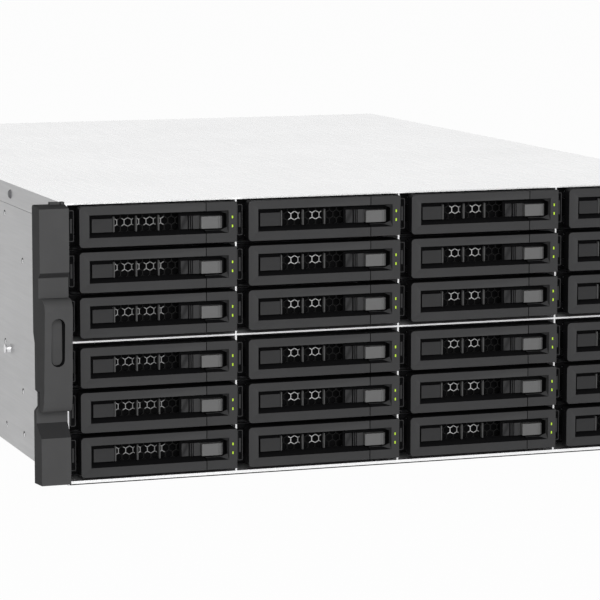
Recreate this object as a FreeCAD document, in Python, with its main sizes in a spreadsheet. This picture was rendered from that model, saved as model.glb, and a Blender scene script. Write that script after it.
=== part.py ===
import FreeCAD, Part
import os
import re
import Sketcher

# Rackmount storage server, four rack units high, with six rows of four drive trays.
# Millimetres. X runs to the right, Y to the back and Z up. The origin is the middle of the
# footprint, at the underside of the chassis, and the drive bays face -Y.

V = FreeCAD.Vector
COLUMNS = 4
ROWS = 6
ROWS_ABOVE_SHELF = 3
WINDOWS = 3
BLADES = 7
SLOTS = 5
VENT_ROWS = 8
VENT_COLUMNS = 3
COVER_SCREWS = 3
FAN_NAMES = ("left", "middle", "right")

# Driving sizes
SIZES = {
    # whole server
    "rack_width": 482.6,
    "ear_reach": 20.8,
    "body_height": 176.0,
    "body_depth": 627.0,
    "face_standoff": 8.0,
    "grip_reach": 13.5,
    "rear_reach": 18.0,
    "tub_sheet": 1.2,
    "cover_sheet": 1.0,
    "cover_flange": 14.0,
    "screw_head_radius": 3.2,
    "screw_head_height": 1.2,
    "cover_screw_inset": 135.4,
    "cover_screw_spacing": 165.0,
    "thumb_screw_reach": 4.8,
    # drive bays
    "side_margin": 1.9,
    "row_gap": 3.06,
    "shelf_extra": 3.04,
    "shelf_drop": 3.5,
    "top_margin": 1.72,
    "base_margin": 5.7,
    "cage_sheet": 1.2,
    "runner_reach": 2.3,
    "runner_height": 1.1,
    "runner_inset": 14.0,
    "slide_gap": 0.2,
    # tray bezel, which the lever and the fixed end share
    "bezel_inset": 5.86,
    "bezel_end_gap": 1.94,
    "bezel_depth": 9.0,
    "bezel_corner": 2.2,
    "seam_inset": 20.3,
    "seam_gap": 0.3,
    "recess_left": 6.3,
    "recess_right": 5.3,
    "recess_above": 5.2,
    "recess_below": 5.74,
    "wedge_rise": 2.3,
    "floor_depth": 7.0,
    "floor_sheet": 2.0,
    "window_left": 24.65,
    "block_width": 11.85,
    "window_rib": 1.3,
    "window_above": 1.4,
    "pad_inset": 3.45,
    "pad_gap": 1.5,
    "pad_front": 4.6,
    "pad_below": 2.76,
    "pad_above": 3.04,
    "block_gap": 0.4,
    "button_width": 13.8,
    "button_front": 1.5,
    "button_gap": 3.6,
    "tongue_margin": 1.25,
    # lever hinge
    "pin_inset": 2.54,
    "pin_depth": 12.0,
    "pin_radius": 1.2,
    "pin_fit": 0.04,
    "pin_overhang": 0.5,
    "knuckle_half": 2.5,
    "lug_radius": 2.6,
    "lug_height": 4.2,
    "lug_inset": 2.5,
    "hinge_gap": 0.3,
    "web_offset": 0.2,
    "web_sheet": 2.4,
    # carrier and drive
    "wall_depth": 16.0,
    "wall_sheet": 2.0,
    "wall_margin": 0.5,
    "wall_window_left": 14.0,
    "wall_window_end": 23.3,
    "rail_sheet": 2.4,
    "rail_drop": 6.54,
    "rail_room": 3.85,
    "drive_length": 147.0,
    "drive_gap": 2.0,
    "drive_front": 20.0,
    "drive_drop": 1.3,
    "drive_chamfer": 1.5,
    "pipe_width": 1.3,
    "pipe_height": 1.9,
    "pipe_inset": 2.8,
    "pipe_drop": 9.5,
    "pipe_step": 5.6,
    # mesh
    "mesh_depth": 9.6,
    "mesh_sheet": 0.8,
    "mesh_margin": 4.2,
    "mesh_pitch": 4.6,
    "mesh_web": 0.7,
    # backplane
    "mating_gap": 0.3,
    "plug_depth": 8.0,
    "plug_width": 42.0,
    "plug_height": 6.5,
    "board_sheet": 2.4,
    "board_margin": 1.0,
    "air_slot_gap": 33.3,
    "air_slot_drop": 4.54,
    "air_slot_rise": 9.5,
    "cable_plug_width": 24.0,
    "cable_plug_height": 9.0,
    # fans
    "fan_wall_offset": 222.0,
    "fan_gap": 20.0,
    "fan_depth": 38.0,
    "fan_room": 16.6,
    "fan_rim": 3.0,
    "fan_hub": 20.0,
    "fan_hub_length": 24.0,
    "fan_inset": 3.0,
    "fan_motor_length": 8.0,
    "fan_strut": 4.0,
    "fan_shaft": 2.0,
    "fan_shaft_fit": 0.05,
    "fan_tip_gap": 2.0,
    "blade_sheet": 1.8,
    "blade_half_chord": 9.0,
    "blade_half_rise": 10.0,
    # power supplies
    "supply_width": 73.5,
    "supply_height": 40.0,
    "supply_clear": 442.0,
    "supply_side_gap": 1.4,
    "supply_shelf": 1.2,
    "inlet_width": 27.0,
    "inlet_height": 20.0,
    "inlet_depth": 17.0,
    "inlet_margin": 6.0,
    "blade_pin_width": 4.0,
    "blade_pin_thickness": 2.0,
    "handle_bar": 4.0,
    "handle_width": 30.0,
    "tab_width": 10.0,
    "tab_reach": 9.0,
    "tongue_length": 9.0,
    # mainboard
    "board_gap": 47.3,
    "board_clear": 360.0,
    "mainboard_sheet": 1.6,
    "mainboard_side_gap": 8.0,
    "standoff_height": 6.5,
    "standoff_half": 3.0,
    "cooler_size": 92.0,
    "cooler_base": 10.0,
    "cooler_height": 50.0,
    "fin_sheet": 1.4,
    "fin_pitch": 6.0,
    "memory_length": 133.0,
    "memory_pitch": 10.0,
    "memory_slot_height": 9.0,
    "memory_height": 32.0,
    "memory_sheet": 1.4,
    "port_depth": 18.0,
    "port_reach": 1.0,
    "port_wall": 1.2,
    "cable_width": 18.0,
    "cable_sheet": 1.6,
    # rear wall
    "io_share": 0.52,
    "io_height": 44.45,
    "io_side_gap": 6.0,
    "slot_end": 32.8,
    "slot_web": 7.32,
    "slot_above": 49.3,
    "slot_margin": 14.0,
    "slot_cover_gap": 1.92,
    "slot_cover_sheet": 0.9,
    "vent_width": 30.0,
    "vent_step": 40.0,
    "vent_height": 4.0,
    "supply_vent_pitch": 8.0,
    "vent_margin": 11.6,
    # rack ears
    "ear_width": 20.3,
    "ear_low": 2.6,
    "ear_overtop": 0.7,
    "ear_back": 5.3,
    "ear_side_slope": 2.9,
    "plateau_reach": 6.1,
    "upper_recess_reach": 4.1,
    "lower_recess_depth": 1.7,
    "ear_top_drop": 2.0,
    "grip_lean": 2.5,
    "grip_round": 7.0,
    "foot_rise": 11.0,
    "foot_reach": 4.5,
    "grip_thickness": 7.0,
    "waist_inset": 1.7,
    "notch_inset": 3.6,
    "notch_slope": 3.0,
    "oblong_radius": 4.0,
    "oblong_depth": 3.0,
    "oblong_inset": 12.7,
    "bracket_sheet": 3.0,
    "bracket_inset": 1.6,
    "bracket_leg": 52.0,
    "bracket_margin": 8.0,
    "rack_hole_inset": 8.75,
    "rack_hole_rise": 101.6,
    "rack_hole_radius": 3.3,
    "rack_hole_pocket": 2.0,
    "stud_radius": 3.0,
    "stud_height": 2.6,
    "stud_head_radius": 4.2,
    "stud_head_height": 1.0,
    "stud_inset": 145.6,
    "stud_spacing": 330.0,
    "stud_rise": 64.9,
}

# Heights on a rack ear, as shares of its own height.
EAR_LEVELS = {
    "upper_plateau_low": 0.7714,
    "upper_recess_high": 0.741,
    "grip_high": 0.6686,
    "oblong_high": 0.5939,
    "waist_high": 0.548,
    "waist_low": 0.5078,
    "oblong_low": 0.4273,
    "pull_gap_high": 0.3412,
    "notch_low": 0.2837,
    "grip_low": 0.27,
    "lower_recess_low": 0.2234,
    "lower_plateau_high": 0.1746,
}

# Sizes that follow from the driving ones. Bay sizes are in the tray's own frame: X from the
# divider's middle, Y from the bezel's face and Z from the bezel's underside.
FORMULAS = {
    "body_width": "rack_width - 2 * ear_reach",
    "column_pitch": "(body_width - 2 * side_margin) / %d" % COLUMNS,
    "row_pitch": "(body_height - top_margin - base_margin - shelf_extra + row_gap) / %d" % ROWS,
    "bezel_width": "column_pitch - bezel_inset - bezel_end_gap",
    "bezel_height": "row_pitch - row_gap",
    "face_y": "(grip_reach - face_standoff - body_depth - rear_reach) / 2",
    "front_y": "face_y + face_standoff",
    "rear_y": "front_y + body_depth",
    "tub_half": "body_width / 2 - cover_sheet",
    "tub_inner": "tub_half - tub_sheet",
    "tub_top": "body_height - cover_sheet",
    "tub_rear": "rear_y - cover_sheet",
    "rear_wall": "tub_rear - tub_sheet",
    "top_bezel_z": "body_height - top_margin - bezel_height",
    "shelf_z": "top_bezel_z - 2 * row_pitch - shelf_drop",
    "bezel_right": "bezel_inset + bezel_width",
    "seam_left": "bezel_right - seam_inset",
    "seam_right": "seam_left + seam_gap",
    "recess_low_x": "bezel_inset + recess_left",
    "recess_high_x": "bezel_right - recess_right",
    "recess_low_z": "recess_below",
    "recess_high_z": "bezel_height - recess_above",
    "floor_back": "floor_depth + floor_sheet",
    "window_low": "recess_low_z + wedge_rise",
    "window_height": "recess_high_z - window_low - window_above",
    "window_low_x": "bezel_inset + window_left",
    "window_width": "(block_low_x - window_low_x - %d * window_rib) / %d" % (WINDOWS - 1, WINDOWS),
    "pad_low_x": "recess_low_x + pad_inset",
    "pad_high_x": "window_low_x - pad_gap",
    "button_high_x": "recess_high_x - button_gap",
    "button_low_x": "button_high_x - button_width",
    "block_high_x": "button_low_x - block_gap",
    "block_low_x": "block_high_x - block_width",
    "pad_low": "recess_low_z + pad_below",
    "pad_height": "recess_high_z - pad_above - pad_low",
    "pipe_high": "bezel_height - pipe_drop",
    "pipe_low": "pipe_high - pipe_step",
    "tongue_high_x": "recess_high_x - tongue_margin",
    "tongue_low_z": "recess_low_z + tongue_margin",
    "tongue_high_z": "recess_high_z - tongue_margin",
    "pin_x": "bezel_inset + pin_inset",
    "lug_low_top": "lug_inset + lug_height",
    "lug_high_top": "bezel_height - lug_inset",
    "lug_high_low": "lug_high_top - lug_height",
    "web_low_y": "pin_depth + web_offset",
    "web_high_y": "web_low_y + web_sheet",
    "bay_middle": "column_pitch / 2",
    "wall_window_right": "column_pitch - wall_window_end",
    "rail_height": "bezel_height - rail_drop",
    "drive_width": "column_pitch - 2 * rail_room",
    "drive_height": "row_pitch - drive_gap",
    "air_slot_width": "column_pitch - air_slot_gap",
    "air_slot_height": "bezel_height - air_slot_rise - air_slot_drop",
    "rail_inner": "bay_middle - drive_width / 2",
    "rail_outer": "rail_inner - rail_sheet",
    "wall_back": "wall_depth + wall_sheet",
    "drive_back": "drive_front + drive_length",
    "mesh_top": "bezel_height - mesh_margin",
    "mesh_row_step": "mesh_pitch * sqrt(3) / 2",
    "mesh_corner": "(mesh_pitch - mesh_web) / sqrt(3)",
    "cage_rear": "face_y + drive_back + mating_gap + plug_depth",
    "fan_wall_y": "face_y + fan_wall_offset",
    "fan_back_y": "fan_wall_y + cage_sheet + fan_depth",
    "fan_pitch": "(2 * tub_inner - fan_room) / %d" % len(FAN_NAMES),
    "fan_size": "fan_pitch - fan_gap",
    "fan_bore": "fan_size / 2 - fan_rim",
    "fan_z": "(tub_sheet + tub_top) / 2",
    "supply_low_x": "supply_side_gap - tub_inner",
    "supply_high_x": "supply_low_x + supply_width",
    "supply_step": "supply_height + 2 * slide_gap + supply_shelf",
    "supply_length": "body_depth - supply_clear",
    "supply_front": "tub_rear - supply_length",
    "bay_wall_x": "supply_high_x + slide_gap",
    "board_z": "tub_sheet + standoff_height",
    "board_top": "board_z + mainboard_sheet",
    "board_high_x": "tub_inner - mainboard_side_gap",
    "board_low_x": "bay_wall_x + supply_shelf + board_gap",
    "mainboard_width": "board_high_x - board_low_x",
    "mainboard_length": "body_depth - board_clear",
    "board_back": "rear_wall - slot_cover_sheet - mating_gap",
    "data_socket_z": "top_bezel_z - 5 * row_pitch - shelf_extra - board_margin",
    "board_front": "board_back - mainboard_length",
    "io_low_x": "board_low_x + io_side_gap",
    "io_width": "io_share * mainboard_width",
    "io_high_x": "io_low_x + io_width",
    "slot_low_x": "io_high_x + slot_margin",
    "slot_pitch": "(tub_inner - slot_low_x - slot_end) / %d" % SLOTS,
    "slot_width": "slot_pitch - slot_web",
    "slot_cover_width": "slot_pitch - slot_cover_gap",
    "slot_height": "body_height - board_z - slot_margin - slot_above",
    "vent_low": "tub_sheet + 2 * supply_step + vent_margin",
    "vent_pitch": "(body_height - cover_flange - vent_low) / %d" % VENT_ROWS,
    "ear_height": "body_height - ear_low + ear_overtop",
    "ear_outer": "rack_width / 2",
    "ear_inner": "ear_outer - ear_width",
    "ear_top": "ear_low + ear_height",
    "ear_back_y": "face_y + ear_back",
    "bracket_back": "ear_back_y + bracket_sheet",
    "rack_hole_x": "rack_width / 2 - rack_hole_inset",
    "rack_hole_low": "body_height / 2 - rack_hole_rise / 2",
    "rack_hole_high": "body_height / 2 + rack_hole_rise / 2",
}

FORMULAS.update({name: "ear_low + %g * ear_height" % share for name, share in EAR_LEVELS.items()})

DOC = FreeCAD.newDocument("rack_server")


# Helpers


def bind(thing, prop, formula):
    """Ties a property to a formula over the sheet's names."""
    text = re.sub(r"[a-z][a-z_]+", lambda word: "Sizes." + word.group(0), formula)
    thing.setExpression(prop, text)


def size(name):
    """A size as a number, for counting what fits."""
    return float(DOC.getObject("Sizes").get(name))


def make_sheet():
    """The sheet of driving sizes, with the sizes that follow from them below."""
    sheet = DOC.addObject("Spreadsheet::Sheet", "Sizes")
    cells = [(name, str(value)) for name, value in SIZES.items()]
    cells += [(name, "=" + formula) for name, formula in FORMULAS.items()]
    for row, (name, content) in enumerate(cells, start=1):
        sheet.set("A%d" % row, name)
        sheet.set("B%d" % row, content)
        sheet.setAlias("B%d" % row, name)
    DOC.recompute()


def minus(formula):
    return "-(%s)" % formula


def block(name, x, y, z):
    """A box between two planes each way, each plane a formula."""
    box = DOC.addObject("Part::Box", name)
    for axis, side, (low, high) in zip("xyz", ("Length", "Width", "Height"), (x, y, z)):
        bind(box, ".Placement.Base." + axis, low)
        bind(box, side, "(%s) - (%s)" % (high, low))
    return box


TURNS = {
    "x": FreeCAD.Rotation(V(0, 1, 0), 90),
    "y": FreeCAD.Rotation(V(1, 0, 0), -90),
    "z": FreeCAD.Rotation(),
}


def rod(name, along, x, y, z, radius):
    """A cylinder: the place along its axis is a pair of formulas, the other two are one each."""
    bar = DOC.addObject("Part::Cylinder", name)
    bar.Placement = FreeCAD.Placement(V(), TURNS[along])
    for axis, place in zip("xyz", (x, y, z)):
        if axis == along:
            low, high = place
            bind(bar, "Height", "(%s) - (%s)" % (high, low))
            place = low
        bind(bar, ".Placement.Base." + axis, place)
    bind(bar, "Radius", radius)
    return bar


def hexagon(name, x, y, z, corner_radius):
    """A six-sided prism along Y with its sides upright."""
    prism = DOC.addObject("Part::Prism", name)
    prism.Polygon = 6
    upright = FreeCAD.Rotation(V(0, 1, 0), 30) * TURNS["y"]
    prism.Placement = FreeCAD.Placement(V(), upright)
    bind(prism, "Circumradius", corner_radius)
    bind(prism, "Height", "(%s) - (%s)" % (y[1], y[0]))
    for axis, place in zip("xyz", (x, y[0], z)):
        bind(prism, ".Placement.Base." + axis, place)
    return prism


def fuse(name, pieces):
    joined = DOC.addObject("Part::MultiFuse", name)
    joined.Shapes = pieces
    joined.Refine = True
    return joined


def group(name, pieces):
    """Separate solids kept side by side."""
    together = DOC.addObject("Part::Compound", name)
    together.Links = pieces
    return together


def cut(name, base, tools):
    carved = DOC.addObject("Part::Cut", name)
    carved.Base = base
    carved.Tool = tools[0] if len(tools) == 1 else group(name + "_tools", tools)
    carved.Refine = True
    return carved


def mirrored(name, source):
    """The same piece on the other side of the middle plane."""
    twin = DOC.addObject("Part::Mirroring", name)
    twin.Source = source
    twin.Normal = V(1, 0, 0)
    return twin


def new_body(name):
    return DOC.addObject("PartDesign::Body", name)


def sketch_on(body, role, name, height="0"):
    """A sketch on one of the body's origin planes, raised along the plane's normal."""
    sketch = body.newObject("Sketcher::SketchObject", name)
    plane = next(item for item in body.Origin.OriginFeatures if item.Role == role)
    sketch.AttachmentSupport = (plane, [""])
    sketch.MapMode = "FlatFace"
    bind(sketch, ".AttachmentOffset.Base.z", height)
    return sketch


def polygon(sketch, points):
    """A closed outline whose corners are pairs of formulas."""
    count = len(points)
    first = sketch.GeometryCount
    start = Part.makeCircle(10).discretize(count + 1)
    for index in range(count):
        sketch.addGeometry(Part.LineSegment(start[index], start[index + 1]), False)
    for index in range(count):
        after = first + (index + 1) % count
        sketch.addConstraint(Sketcher.Constraint("Coincident", first + index, 2, after, 1))
    for index, (across, up) in enumerate(points):
        for kind, formula in (("DistanceX", across), ("DistanceY", up)):
            number = sketch.addConstraint(Sketcher.Constraint(kind, -1, 1, first + index, 1, 1.0))
            bind(sketch, "Constraints[%d]" % number, formula)


def rectangle(sketch, across, up):
    polygon(sketch, [(across[0], up[0]), (across[1], up[0]), (across[1], up[1]), (across[0], up[1])])


def circle(sketch, radius):
    """A circle about the sketch's origin."""
    number = sketch.addGeometry(Part.Circle(V(), V(0, 0, 1), 5), False)
    sketch.addConstraint(Sketcher.Constraint("Coincident", number, 3, -1, 1))
    limit = sketch.addConstraint(Sketcher.Constraint("Radius", number, 5.0))
    bind(sketch, "Constraints[%d]" % limit, radius)


def pad(body, name, sketch, length, reverse=False):
    feature = body.newObject("PartDesign::Pad", name)
    feature.Profile = sketch
    feature.Reversed = reverse
    bind(feature, "Length", length)
    return feature


def pocket(body, name, sketch, length, reverse=False):
    """A pocket that has to take something away."""
    before = body.Tip
    DOC.recompute()
    volume = before.Shape.Volume
    feature = body.newObject("PartDesign::Pocket", name)
    feature.Profile = sketch
    feature.Reversed = reverse
    bind(feature, "Length", length)
    DOC.recompute()
    if feature.Shape.Volume >= volume:
        raise ValueError("%s cuts nothing" % name)
    return feature


def dress_edges(body, kind, name, prop, amount, wanted):
    """Rounds or bevels the edges of the body's last feature that the test wants."""
    DOC.recompute()
    base = body.Tip
    names = [
        "Edge%d" % (index + 1)
        for index, edge in enumerate(base.Shape.Edges)
        if wanted(edge)
    ]
    feature = body.newObject(kind, name)
    feature.Base = (base, names)
    bind(feature, prop, amount)
    return feature


def runs_along(edge, axis):
    """True if a straight edge lies along the axis."""
    step = edge.Vertexes[-1].Point - edge.Vertexes[0].Point
    return abs(getattr(step, axis)) > 0.999 * max(step.Length, 1e-9)


# Drive trays and their levers


def bezel_z(row):
    """The underside of a row's bezels, rows counted from the top."""
    below_shelf = " - shelf_extra" if row >= ROWS_ABOVE_SHELF else ""
    return "top_bezel_z - %d * row_pitch%s" % (row, below_shelf)


def divider_x(column):
    """The middle plane at the left of a column."""
    return "%.1f * column_pitch" % (column - COLUMNS / 2)


def window_x(index):
    """The left edge of one of the lever's windows."""
    return "window_low_x + %d * (window_width + window_rib)" % index


def lever_frame():
    """The bezel left of the seam, with its recess, windows, button tongue and knuckle."""
    body = new_body("lever_frame")
    outline = sketch_on(body, "XZ_Plane", "lever_outline")
    rectangle(outline, ("bezel_inset", "seam_left"), ("0", "bezel_height"))
    pad(body, "lever_block", outline, "bezel_depth", reverse=True)
    dress_edges(body, "PartDesign::Fillet", "lever_corners", "Radius", "bezel_corner",
                lambda edge: runs_along(edge, "y") and edge.BoundBox.XMax < size("bezel_inset") + 0.01)
    recess = sketch_on(body, "XZ_Plane", "lever_recess")
    rectangle(recess, ("recess_low_x", "seam_left + 1"), ("recess_low_z", "recess_high_z"))
    pocket(body, "lever_recess_cut", recess, "floor_depth")
    wedge = sketch_on(body, "YZ_Plane", "lever_wedge", "recess_low_x")
    polygon(wedge, [("0", "recess_low_z"), ("floor_depth", "recess_low_z"), ("floor_depth", "window_low")])
    pad(body, "lever_wedge_pad", wedge, "seam_left - recess_low_x")
    windows = sketch_on(body, "XZ_Plane", "lever_windows")
    for index in range(WINDOWS):
        left = window_x(index)
        rectangle(windows, (left, left + " + window_width"), ("window_low", "window_low + window_height"))
    pocket(body, "lever_window_cut", windows, "floor_back + 1")
    raised = sketch_on(body, "XZ_Plane", "lever_raised", "-pad_front")
    pad_span = ("pad_low", "pad_low + pad_height")
    rectangle(raised, ("pad_low_x", "pad_high_x"), pad_span)
    rectangle(raised, ("block_low_x", "block_high_x"), pad_span)
    for index in range(WINDOWS):
        left = window_x(index)
        rectangle(raised, (left + " - window_rib", left), ("window_low", "window_low + window_height"))
    pad(body, "lever_raised_pad", raised, "floor_depth - pad_front", reverse=True)
    tongue = sketch_on(body, "XZ_Plane", "lever_tongue", "-floor_depth")
    rectangle(tongue, ("seam_left - 1", "tongue_high_x"), ("tongue_low_z", "tongue_high_z"))
    pad(body, "lever_tongue_pad", tongue, "floor_sheet", reverse=True)
    knuckle = sketch_on(body, "XZ_Plane", "lever_knuckle", "-bezel_depth")
    rectangle(knuckle, ("pin_x - knuckle_half", "pin_x + knuckle_half"),
              ("lug_low_top + hinge_gap", "lug_high_low - hinge_gap"))
    pad(body, "lever_knuckle_pad", knuckle, "pin_depth + knuckle_half - bezel_depth", reverse=True)
    bore = rod("lever_bore", "z", "pin_x", "pin_depth", ("0", "bezel_height"), "pin_radius + pin_fit")
    return cut("lever_shell", body, [bore])


def tray_lever():
    """The swinging lever with its release button."""
    button = block("release_button", ("button_low_x", "button_high_x"), ("button_front", "floor_depth"),
                   ("pad_low", "pad_low + pad_height"))
    return group("tray_lever_unit", [lever_frame(), button])


def carrier():
    """Front wall, two rails and the bracket that holds the lever's pin."""
    wall_x = ("rail_outer", "column_pitch - rail_outer")
    wall = block("carrier_wall", wall_x, ("wall_depth", "wall_back"),
                 ("wall_margin", "bezel_height - wall_margin"))
    window = block("carrier_window", ("wall_window_left", "wall_window_right"),
                   ("wall_depth - 1", "wall_back + 1"), ("mesh_margin + mesh_sheet", "mesh_top - mesh_sheet"))
    rail_y = ("wall_back", "drive_back")
    rail_z = ("wall_margin", "wall_margin + rail_height")
    left_rail = block("carrier_rail_left", ("rail_outer", "rail_inner"), rail_y, rail_z)
    right_rail = block("carrier_rail_right", ("column_pitch - rail_inner", "column_pitch - rail_outer"),
                       rail_y, rail_z)
    bar = block("hinge_bar", ("rail_outer", "rail_outer + web_sheet"), ("web_low_y", "wall_depth"),
                ("lug_inset", "lug_high_top"))
    pieces = [cut("carrier_front", wall, [window]), left_rail, right_rail, bar]
    for name, span in (("low", ("lug_inset", "lug_low_top")), ("high", ("lug_high_low", "lug_high_top"))):
        pieces.append(block("hinge_web_" + name, ("rail_outer", "pin_x"), ("web_low_y", "web_high_y"), span))
        pieces.append(rod("hinge_lug_" + name, "z", "pin_x", "pin_depth", span, "lug_radius"))
    bore = rod("hinge_bore", "z", "pin_x", "pin_depth", ("0", "bezel_height"), "pin_radius + pin_fit")
    return cut("carrier_shell", fuse("carrier_blank", pieces), [bore])


def fixed_end():
    """The bezel right of the seam, hollow behind the button, with two light pipes in it."""
    outer = block("fixed_end_block", ("seam_right", "bezel_right"), ("0", "wall_depth"),
                  ("0", "bezel_height"))
    cavity = block("fixed_end_cavity", ("seam_right - 1", "recess_high_x"),
                   ("-1", "floor_back + hinge_gap"), ("recess_low_z", "recess_high_z"))
    pipe_x = ("bezel_right - pipe_inset - pipe_width / 2", "bezel_right - pipe_inset + pipe_width / 2")
    pipes = []
    holes = []
    for level in ("pipe_high", "pipe_low"):
        pipe_z = ("%s - pipe_height / 2" % level, "%s + pipe_height / 2" % level)
        pipes.append(block("light_" + level, pipe_x, ("0", "wall_depth"), pipe_z))
        holes.append(block("hole_" + level, pipe_x, ("-1", "wall_depth + 1"), pipe_z))
    return [cut("fixed_end_shell", outer, [cavity] + holes)] + pipes


def mesh():
    """A steel sheet punched with hexagons, folded back at its top and bottom."""
    plate_x = ("wall_window_left", "wall_window_right")
    front = ("mesh_depth", "mesh_depth + mesh_sheet")
    plate = block("mesh_plate", plate_x, front, ("mesh_margin", "mesh_top"))
    lower = block("mesh_lower_fold", plate_x, ("mesh_depth", "wall_depth"),
                  ("mesh_margin", "mesh_margin + mesh_sheet"))
    upper = block("mesh_upper_fold", plate_x, ("mesh_depth", "wall_depth"),
                  ("mesh_top - mesh_sheet", "mesh_top"))
    columns = int((size("block_low_x") - size("window_low_x")) // size("mesh_pitch")) + 1
    rows = int(size("window_height") // size("mesh_pitch")) + 1
    holes = []
    for row in range(rows):
        for column in range(columns - row % 2):
            step_x = column - (columns - 1 - row % 2) / 2
            step_z = row - (rows - 1) / 2
            holes.append(hexagon(
                "mesh_hole_%d_%d" % (row, column),
                "(window_low_x + block_low_x) / 2 + %.1f * mesh_pitch" % step_x,
                ("mesh_depth - 1", "mesh_depth + mesh_sheet + 1"),
                "window_low + window_height / 2 + %.1f * mesh_row_step" % step_z,
                "mesh_corner"))
    return cut("mesh_insert", fuse("mesh_blank", [plate, lower, upper]), holes)


def drive():
    """A 3.5-inch hard drive between the rails."""
    body = new_body("hard_drive")
    base = sketch_on(body, "XY_Plane", "drive_base", "-drive_drop")
    rectangle(base, ("rail_inner", "rail_inner + drive_width"), ("drive_front", "drive_back"))
    pad(body, "drive_block", base, "drive_height")
    dress_edges(body, "PartDesign::Chamfer", "drive_corners", "Size", "drive_chamfer",
                lambda edge: runs_along(edge, "z"))
    return body


def drive_tray():
    """All that slides with one tray, apart from its lever."""
    pin = rod("hinge_pin", "z", "pin_x", "pin_depth",
              ("lug_inset - pin_overhang", "lug_high_top + pin_overhang"), "pin_radius")
    return group("drive_tray_unit", [carrier()] + fixed_end() + [mesh(), drive(), pin])


def in_every_bay(unit, label):
    """A link to the unit in each bay, named by row from the top and column from the left."""
    links = []
    for row in range(ROWS):
        for column in range(COLUMNS):
            link = DOC.addObject("App::Link", "%s_row%d_col%d" % (label, row + 1, column + 1))
            link.LinkedObject = unit
            bind(link, ".Placement.Base.x", divider_x(column))
            bind(link, ".Placement.Base.y", "face_y")
            bind(link, ".Placement.Base.z", bezel_z(row))
            links.append(link)
    return links


# Sheet metal


def chassis_tub():
    """Base and side walls with the runners, then rear panel, supply bay, slot covers and rail studs."""
    through_rear = ("rear_wall - 1", "tub_rear + 1")
    outer = block("tub_outer", ("-tub_half", "tub_half"), ("front_y", "tub_rear"), ("0", "tub_top"))
    space = block("tub_space", ("-tub_inner", "tub_inner"), ("front_y - 1", "tub_rear + 1"),
                  ("tub_sheet", "tub_top + 1"))
    panel = block("rear_panel_sheet", ("-tub_inner", "tub_inner"), ("rear_wall", "tub_rear"),
                  ("tub_sheet", "tub_top"))
    openings = [
        block("supply_mouth", ("supply_low_x - slide_gap", "supply_high_x + slide_gap"), through_rear,
              ("tub_sheet", "tub_sheet + 2 * supply_step - supply_shelf")),
        block("io_mouth", ("io_low_x", "io_high_x"), through_rear, ("board_z", "board_z + io_height")),
    ]
    covers = []
    for index in range(SLOTS):
        left = "slot_low_x + %d * slot_pitch" % index
        openings.append(block("slot_%d" % index, (left, left + " + slot_width"), through_rear,
                              ("board_z + slot_margin", "board_z + slot_margin + slot_height")))
        middle = left + " + slot_width / 2"
        covers.append(block("slot_cover_%d" % index,
                            (middle + " - slot_cover_width / 2", middle + " + slot_cover_width / 2"),
                            ("rear_wall - slot_cover_sheet", "rear_wall"),
                            ("board_z + slot_margin / 2", "board_z + 3 * slot_margin / 2 + slot_height")))
    for row in range(VENT_ROWS):
        for column in range(VENT_COLUMNS):
            left = "supply_low_x + inlet_margin + %d * vent_step" % column
            low = "vent_low + %d * vent_pitch" % row
            openings.append(block("vent_%d_%d" % (row, column), (left, left + " + vent_width"), through_rear,
                                  (low, low + " + vent_height")))
    rear_panel = cut("rear_panel", panel, openings)
    runners = []
    for row in range(ROWS):
        runner_z = ("%s + wall_margin - slide_gap - runner_height" % bezel_z(row),
                    "%s + wall_margin - slide_gap" % bezel_z(row))
        runners.append(block("tub_runner_left_%d" % row, ("-tub_inner", "runner_reach - tub_inner"),
                             ("front_y + runner_inset", "cage_rear"), runner_z))
        runners.append(block("tub_runner_right_%d" % row, ("tub_inner - runner_reach", "tub_inner"),
                             ("front_y + runner_inset", "cage_rear"), runner_z))
    supply_bay = block("supply_bay_outer", ("-tub_inner", "bay_wall_x + supply_shelf"),
                       ("supply_front", "rear_wall"), ("tub_sheet", "tub_sheet + 2 * supply_step"))
    rooms = []
    for level in range(2):
        low = "tub_sheet + %d * supply_step" % level
        rooms.append(block("supply_room_%d" % level, ("supply_low_x - slide_gap", "bay_wall_x"),
                           ("supply_front - 1", "rear_wall + 1"),
                           (low if level else low + " - 1", low + " + supply_height + 2 * slide_gap")))
    bay = cut("supply_bay", supply_bay, rooms)
    studs = []
    for side, sign in (("left", "-"), ("right", "")):
        for index in range(2):
            place = "front_y + stud_inset + %d * stud_spacing" % index
            studs += side_stud("stud_%s_%d" % (side, index), sign, place)
    shell = fuse("tub_shell", [cut("tub_walls", outer, [space])] + runners)
    return group("chassis_tub", [shell, rear_panel, bay] + covers + studs)


def side_stud(name, sign, place):
    """A headed stud for a slide rail on a side wall."""
    if sign:
        shank = ("-tub_half - stud_height", "-tub_half")
        head = ("-tub_half - stud_height - stud_head_height", "-tub_half - stud_height")
    else:
        shank = ("tub_half", "tub_half + stud_height")
        head = ("tub_half + stud_height", "tub_half + stud_height + stud_head_height")
    return [fuse(name, [
        rod(name + "_shank", "x", shank, place, "stud_rise", "stud_radius"),
        rod(name + "_head", "x", head, place, "stud_rise", "stud_head_radius"),
    ])]


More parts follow.
